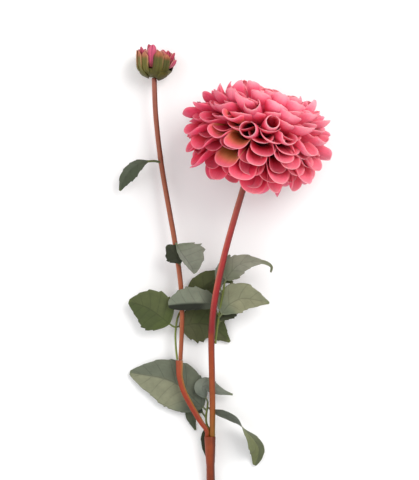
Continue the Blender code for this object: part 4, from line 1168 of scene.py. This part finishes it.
def turned(base: Point, axis: Point, profile: Array, tint: Array, sides: int = 40) -> Shell:
    """A solid turned from (radius, height) points, closed at both ends."""
    a, e1, e2 = ball_frame(axis)
    turn = np.linspace(0, 2 * np.pi, sides, endpoint=False)[None, :, None]
    out = np.cos(turn) * e1 + np.sin(turn) * e2
    profile = np.asarray(profile, float)
    rings = np.array(base) + profile[:, :1, None] * out + profile[:, 1:, None] * a
    skin = np.stack(np.broadcast_arrays(turn[..., 0] * 10, profile[:, 1:]), -1)
    return closed_tube(rings, {"tint": np.broadcast_to(tint, rings.shape), "skin": skin})


@dataclass(frozen=True)
class BloomCalyx:
    """The green receptacle under the bloom, with bracts lying back from it."""

    bracts: int = 5

    def build(self, axes: PlantAxes, finishes: dict[Finish, bpy.types.Material]) -> bpy.types.Object:
        """Makes the receptacle as a turned cup and the bracts as wrapped blades."""
        base = np.array(BLOOM_CENTRE) - unit(BLOOM_AXIS) * (CORE_FOOT + GAP + CALYX_HEIGHT)
        cup = smooth_curve(((3.4, 0), (5.5, 1.5), (7.6, 4.2), (7.2, CALYX_HEIGHT)), np.linspace(0, 1, 14))
        parts = [turned(base, BLOOM_AXIS, cup, paint((98, 108, 52)))]
        u, v = np.linspace(0, 1, 16), np.linspace(-1, 1, 9)
        profile = smooth_curve(((5.4, 3.6), (8.4, 3.4), (10.2, 0.6), (10.6, -2.2)), u)
        half = 3.5 * np.sin(np.pi * (0.18 + 0.80 * u)) ** 0.8
        turns = np.arange(self.bracts) * 2 * np.pi / self.bracts
        grid = wrapped(base, BLOOM_AXIS, turns, profile, half, v)
        tint = blend(paint((104, 114, 54)), paint((78, 88, 40)), ease(0.4, 1.0, np.abs(v))[None, None])
        tint = np.broadcast_to(tint, grid.shape)
        skin = np.broadcast_to(blade_skin(u, v, 3.5, 10), (*grid.shape[:3], 2))
        values = {"tint": tint, "skin": skin}
        parts.append(sheets(grid, 0.6, values, values))
        return axes.add("bloom_calyx_fine", Shell.joined(parts), finishes[Finish.SEPAL], "bloom_calyx",
                        "sepal_green")


class TuftHue(Enum):
    """Screen colours of a bud petal at its foot, middle and tip, and along its edges."""

    ROSE = ((178, 82, 78), (206, 84, 116), (226, 104, 136), (234, 152, 138))
    CRIMSON = ((142, 44, 44), (184, 56, 80), (206, 88, 112), (228, 134, 124))
    SALMON = ((146, 72, 36), (200, 104, 82), (212, 138, 124), (232, 176, 150))


@dataclass(frozen=True)
class TuftPetal:
    """One crumpled petal of the bud."""

    at: float  # degrees round from the upper side
    path: tuple[Pair, ...]  # (radius, height) from foot to tip
    half_width: float
    hue: TuftHue = TuftHue.ROSE
    skew: float = 0.0  # how far its tip leans round the axis, degrees


TUFT = (
    TuftPetal(-13, ((12.6, 8.4), (15.2, 14), (16.6, 22.5), (15.2, 28)), 3.8),
    TuftPetal(-80, ((12, 10), (15.4, 17), (16.6, 23.4)), 2.8, TuftHue.SALMON),
    TuftPetal(-54, ((12, 10), (15.4, 18), (16.2, 25.8)), 2.6, TuftHue.CRIMSON, -4),
    TuftPetal(-34, ((12, 10), (15.2, 17), (16, 22.8)), 2.8, TuftHue.SALMON, 4),
    TuftPetal(4, ((12, 10), (15.2, 17), (15.6, 23.8)), 3.8, TuftHue.SALMON),
    TuftPetal(22, ((12, 10), (15.4, 17), (15.8, 23.4)), 3, TuftHue.SALMON),
    TuftPetal(43, ((12, 9.4), (15.4, 17), (16.6, 23.8)), 3.4, TuftHue.CRIMSON),
    TuftPetal(64, ((12, 9.4), (15.4, 16), (17.4, 22.8)), 3.2, TuftHue.CRIMSON, 4),
    TuftPetal(70, ((12.4, 8.6), (16.4, 11.4), (19, 16.6)), 4.2),
    TuftPetal(98, ((12.4, 8.6), (15.2, 13), (15.8, 22.8)), 4.2),
    TuftPetal(124, ((12, 10), (15.2, 18), (16, 23.6)), 3.4, TuftHue.SALMON),
    TuftPetal(148, ((12, 10), (15.4, 18), (16, 24.6)), 3.4),
    TuftPetal(172, ((12, 10), (15.2, 18), (16, 23.8)), 3.4, TuftHue.CRIMSON, -5),
    TuftPetal(196, ((12, 10), (15.4, 18), (16, 24.4)), 3.4, TuftHue.SALMON),
    TuftPetal(222, ((12, 10), (15.2, 18), (16, 23.6)), 3.6, TuftHue.CRIMSON, 5),
    TuftPetal(250, ((12, 10), (15.4, 18), (16, 24.4)), 3.8),
    TuftPetal(-24, ((7, 16), (12, 22.5), (12.6, 28.2)), 3.4, TuftHue.CRIMSON, -5),
    TuftPetal(36, ((7, 16), (11.5, 21), (10.5, 24.6)), 3.8),
    TuftPetal(108, ((7, 16), (11.5, 21), (11, 24.8)), 3.8, TuftHue.CRIMSON),
    TuftPetal(180, ((7, 16), (11.5, 21), (10.5, 24.6)), 3.8),
    TuftPetal(252, ((7, 16), (11.5, 21), (10.8, 25)), 3.8, TuftHue.CRIMSON),
)


@dataclass(frozen=True)
class Bud:
    """The half-open bud: a cup of overlapping ribbed sepals, open in two places, round a tuft of petals."""

    sepals_at: tuple[float, ...] = (-157, -133, -109, -85, -61, -36, 9, 32, 116, 138, 160, 181)
    bracts: tuple[Pair, ...] = ((42, 0.0), (-62, 1.4))
    lift: float = 0.6

    def outward(self, grid: Array) -> Array:
        """Unit directions away from the bud's axis at each point of a grid."""
        a = unit(BUD_AXIS)
        rel = grid - np.array(BUD_BASE)
        return unit(rel - (rel @ a)[..., None] * a)

    def calyx(self, axes: PlantAxes, finishes: dict[Finish, bpy.types.Material]) -> bpy.types.Object:
        """Makes the cup: a turned foot, grooved sepals with salmon tips, and two bracts that hang back."""
        foot = smooth_curve(((2.7, 0), (7.2, 0.5), (11.6, 2.6), (14.6, 6.0), (13.8, 7.4)),
                            np.linspace(0, 1, 18))
        parts = [turned(BUD_BASE, BUD_AXIS, foot, paint((92, 88, 34)))]
        u, v = np.linspace(0, 1, 26), np.linspace(-1, 1, 15)
        profile = smooth_curve(((9.6, 1.8), (15.4, 6.6), (17.2, 14.5), (17.6, 21.8)), u)
        half = 4.6 * np.clip(0.66 + 1.2 * u, 0, 1) * np.sqrt(1 - ease(0.74, 1.0, u) ** 2 * 0.93)
        turns = np.radians(self.sepals_at)
        draw = np.random.default_rng(5).uniform(-1, 1, (len(turns), 4))
        shaped = np.repeat(profile[None], len(turns), 0)
        shaped[..., 0] += 0.35 * draw[:, :1] * u**2
        shaped[..., 1] += 1.3 * draw[:, 1:2] * u**2
        grid = wrapped(BUD_BASE, BUD_AXIS, turns, shaped, half, v)
        ribs = 0.34 * np.cos(3 * np.pi * v) * (1 - np.abs(v)) + self.lift * v
        grid = grid + (ribs * ease(0.0, 0.3, u)[:, None])[None, ..., None] * self.outward(grid)
        lit = (0.5 - 0.5 * np.sin(turns + 0.2))[:, None, None]
        low = colour_run(u, (0.0, 0.3, 0.74, 0.9), ((56, 54, 20), (78, 78, 30), (72, 78, 34), (166, 84, 54)))
        high = colour_run(u, (0.0, 0.3, 0.74, 0.9),
                          ((84, 80, 30), (122, 114, 44), (132, 118, 52), (200, 120, 88)))
        tint = low + (high - low) * lit
        # painted shade in the grooves: lighter on the ribs, darker between them
        tint = tint[:, :, None] * (0.9 + 0.1 * np.cos(3 * np.pi * v))[None, None, :, None]
        # painted shade on the side of each sepal that tucks under its neighbour
        under = ease(0.35, 1.0, -v)[None, None] * ease(0.1, 0.5, u)[None, :, None]
        tint = blend(tint, paint((78, 46, 22)), 0.75 * under)
        edge = ease(0.74, 1.0, v)[None, None] * ease(0.3, 0.7, u)[None, :, None] * (0.25 + 0.75 * lit)
        tip = ease(0.80, 1.0, u)[None, :, None] * (0.6 + 0.3 * draw[:, 2, None, None])
        tint = blend(tint, paint((226, 160, 122)),
                     np.maximum(0.85 * edge, np.broadcast_to(0.6 * tip, grid.shape[:3])))
        skin = np.broadcast_to(blade_skin(u, v, 4.5, 24), (*grid.shape[:3], 2))
        values = {"tint": tint, "skin": skin}
        parts.append(sheets(grid, 0.6, values, values))
        parts += [self.bract(at, up) for at, up in self.bracts]
        return axes.add("bud_calyx_fine", Shell.joined(parts), finishes[Finish.SEPAL], "bud_calyx",
                        "sepal_green")

    def bract(self, at: float, up: float) -> Shell:
        """A small green blade that hangs back from the foot, ending higher by `up`."""
        u, v = np.linspace(0, 1, 14), np.linspace(-1, 1, 9)
        profile = smooth_curve(((14.5, 6.4), (14.0, 4.4), (11.4, 1.4), (5.8, up - 2.4)), u)
        half = 5.6 * np.sin(np.pi * (0.24 + 0.73 * u)) ** 0.8
        grid = wrapped(BUD_BASE, BUD_AXIS, np.radians([at]), profile, half, v)
        tint = colour_run(u, (0.0, 0.6, 1.0), ((96, 92, 36), (88, 84, 34), (56, 54, 24)))[None, :, None]
        skin = blade_skin(u, v, 3.8, 6)[None]
        values = {"tint": np.broadcast_to(tint, grid.shape), "skin": skin}
        return sheets(grid, 0.6, values, values)

    def petals(self, axes: PlantAxes, finishes: dict[Finish, bpy.types.Material]) -> bpy.types.Object:
        """Makes the tuft: uneven crumpled petals on a rounded core, the longest in the open place."""
        core = smooth_curve(((6.0, 7.7), (11.2, 8.1), (12.6, 11), (12.8, 16), (10.0, 20), (4.0, 21.5)),
                            np.linspace(0, 1, 18))
        parts = [turned(BUD_BASE, BUD_AXIS, core, paint((172, 66, 78)))]
        parts += [self.tuft_petal(petal, number) for number, petal in enumerate(TUFT)]
        return axes.add("bud_petals_fine", Shell.joined(parts), finishes[Finish.BUD_PETAL], "bud_petals",
                        "petal_pink")

    def tuft_petal(self, petal: TuftPetal, seed: int) -> Shell:
        """One petal, pushed out and in by crumple·cos(2.2π·v + phase) and closed in to a crooked tip.

        The half width is 1.12·width·sin(½π·u/0.66)^0.7 up to two thirds of the length and closes after it.
        """
        u, v = np.linspace(0, 1, 26), np.linspace(-1, 1, 15)
        draw = np.random.default_rng(seed + 40).uniform(-1, 1, 4)
        cap = np.clip((u - PETAL_WIDEST) / 0.34, 0, 1)
        half = petal.half_width * (1.12 * np.sin(0.5 * np.pi * np.clip(u / PETAL_WIDEST, 0, 1)) ** 0.7
                                   * (1 - 0.97 * cap ** (1.9 + 0.5 * draw[0])) ** 0.7) + 0.15
        turn = np.radians([petal.at])
        grid = wrapped(BUD_BASE, BUD_AXIS, turn, smooth_curve(petal.path, u), half, v)
        swing = np.radians(petal.skew + 3 * draw[1]) * cap**2
        a = unit(BUD_AXIS)
        out = self.outward(grid)
        side = np.cross(a, out)
        crumple = 0.55 * np.cos(2.2 * np.pi * v[None] + 2.5 * draw[2] + 1.5 * u[:, None])
        ragged = 0.5 * cap[:, None] * np.cos(5 * np.pi * v[None] + 3 * draw[3])
        grid = grid + (16 * swing)[None, :, None, None] * side + ragged[None, ..., None] * a
        grid = grid + (crumple * ease(0.25, 0.9, u)[:, None])[None, ..., None] * out
        foot, middle, tip, rim = petal.hue.value
        run = colour_run(u, (0.0, 0.3, 0.62, 1.0), (foot, middle, middle, tip))[:, None]
        # painted shade where the crumple folds in
        tint = run * (1 - 0.3 * np.clip(-crumple / 0.55, 0, 1))[..., None]
        shade = ease(0.1, 0.75, v)[None] * (ease(0.2, 0.45, u) * (1 - ease(0.6, 0.85, u)))[:, None]
        tint = blend(tint, paint((156, 34, 62)), 0.55 * shade)
        rim_at = 0.8 * ease(0.70, 0.95, -v) + 0.35 * ease(0.8, 1.0, v)
        tint = blend(tint, paint(rim), rim_at[None] * np.ones((len(u), 1)))
        skin = blade_skin(u, v, petal.half_width, 22)[None]
        values = {"tint": tint[None], "skin": skin}
        return sheets(grid, 0.5, values, values)


# ---------------------------------------------------------------- studio

@dataclass(frozen=True)
class Studio:
    """The pale floor, the soft light and the camera over the spray."""

    aim: Point = (-0.8, 216.0, 20.0)  # plant millimetres
    height: float = 1.8
    lens: float = 150.0
    floor_size: float = 6.0
    floor_tone: float = 0.93
    sky: float = 0.85

    def build(self, axes: PlantAxes) -> None:
        """Makes the floor, the world, the lamps and the camera."""
        aim = axes.world(self.aim)
        self.floor()
        self.world()
        self.softbox("key", aim, (0.75, 0.65, 1.25), 0.9, 14.0, (1.0, 0.985, 0.965))
        self.softbox("fill", aim, (-1.0, 0.1, 1.0), 1.2, 4.5, (0.975, 0.985, 1.0))
        lens = bpy.data.cameras.new("camera")
        lens.lens = self.lens
        camera = bpy.data.objects.new("camera", lens)
        camera.location = aim + (0, 0, self.height)
        bpy.context.scene.collection.objects.link(camera)
        bpy.context.scene.camera = camera
        bpy.context.scene.view_settings.view_transform = "Standard"

    def floor(self) -> None:
        """A large pale sheet just under the spray."""
        half = self.floor_size / 2
        mesh = bpy.data.meshes.new("floor")
        mesh.from_pydata([(-half, -half, -2e-4), (half, -half, -2e-4), (half, half, -2e-4),
                          (-half, half, -2e-4)], [],
                         [(0, 1, 2, 3)])
        made = bpy.data.materials.new("floor_paper")
        made.use_nodes = True
        sketch = NodeSketch(made.node_tree)
        noise = sketch.add("TexNoise", {"Vector": sketch.add("TexCoord").outputs["Object"], "Scale": 60.0})
        rough = sketch.math("MULTIPLY_ADD", noise.outputs["Fac"], 0.1, 0.85)
        tone = self.floor_tone
        shader = sketch.add("BsdfPrincipled", {"Base Color": (tone, tone, tone, 1.0), "Roughness": rough,
                                               "Specular IOR Level": 0.1})
        sketch.add("OutputMaterial", {"Surface": shader.outputs[0]})
        mesh.materials.append(made)
        floor = bpy.data.objects.new("floor", mesh)
        bpy.context.scene.collection.objects.link(floor)

    def world(self) -> None:
        """An even white sky."""
        world = bpy.data.worlds.new("studio")
        world.use_nodes = True
        world.node_tree.nodes["Background"].inputs["Color"].default_value = (1, 1, 1, 1)
        world.node_tree.nodes["Background"].inputs["Strength"].default_value = self.sky
        bpy.context.scene.world = world

    def softbox(self, name: str, aim: Array, away: Point, size: float, power: float, colour: Point) -> None:
        """A square lamp that faces the spray.

        Args:
            name: The lamp's name.
            aim: The point that it faces, metres.
            away: Where it stands from there, metres.
            size: Its side.
            power: Its power in watts.
            colour: Its colour.
        """
        lamp = bpy.data.lights.new(name, "AREA")
        lamp.size, lamp.energy, lamp.color = size, power, colour
        made = bpy.data.objects.new(name, lamp)
        made.location = aim + away
        made.rotation_mode = "QUATERNION"
        made.rotation_quaternion = Vector(away).to_track_quat("Z", "Y")
        bpy.context.scene.collection.objects.link(made)


def main() -> None:
    """Builds every sub-assembly in order."""
    logging.basicConfig(level=logging.INFO, format="%(name)s: %(message)s")
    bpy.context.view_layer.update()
    axes = PlantAxes.from_frame()
    groups = {"mottle": mottle_group(), "fibres": fibre_group(), "weave": weave_group()}
    finishes = {finish: finish.value.material(groups) for finish in Finish}
    Collar().build(axes, finishes)
    for stem in (*flower_stems(), *leaf_stalks()):
        stem.build(axes, finishes)
    for leaf in LEAVES:
        leaf.build(axes, finishes)
    Bloom().build(axes, finishes)
    BloomCalyx().build(axes, finishes)
    bud = Bud()
    bud.calyx(axes, finishes)
    bud.petals(axes, finishes)
    Studio().build(axes)


if __name__ == "__main__":
    main()
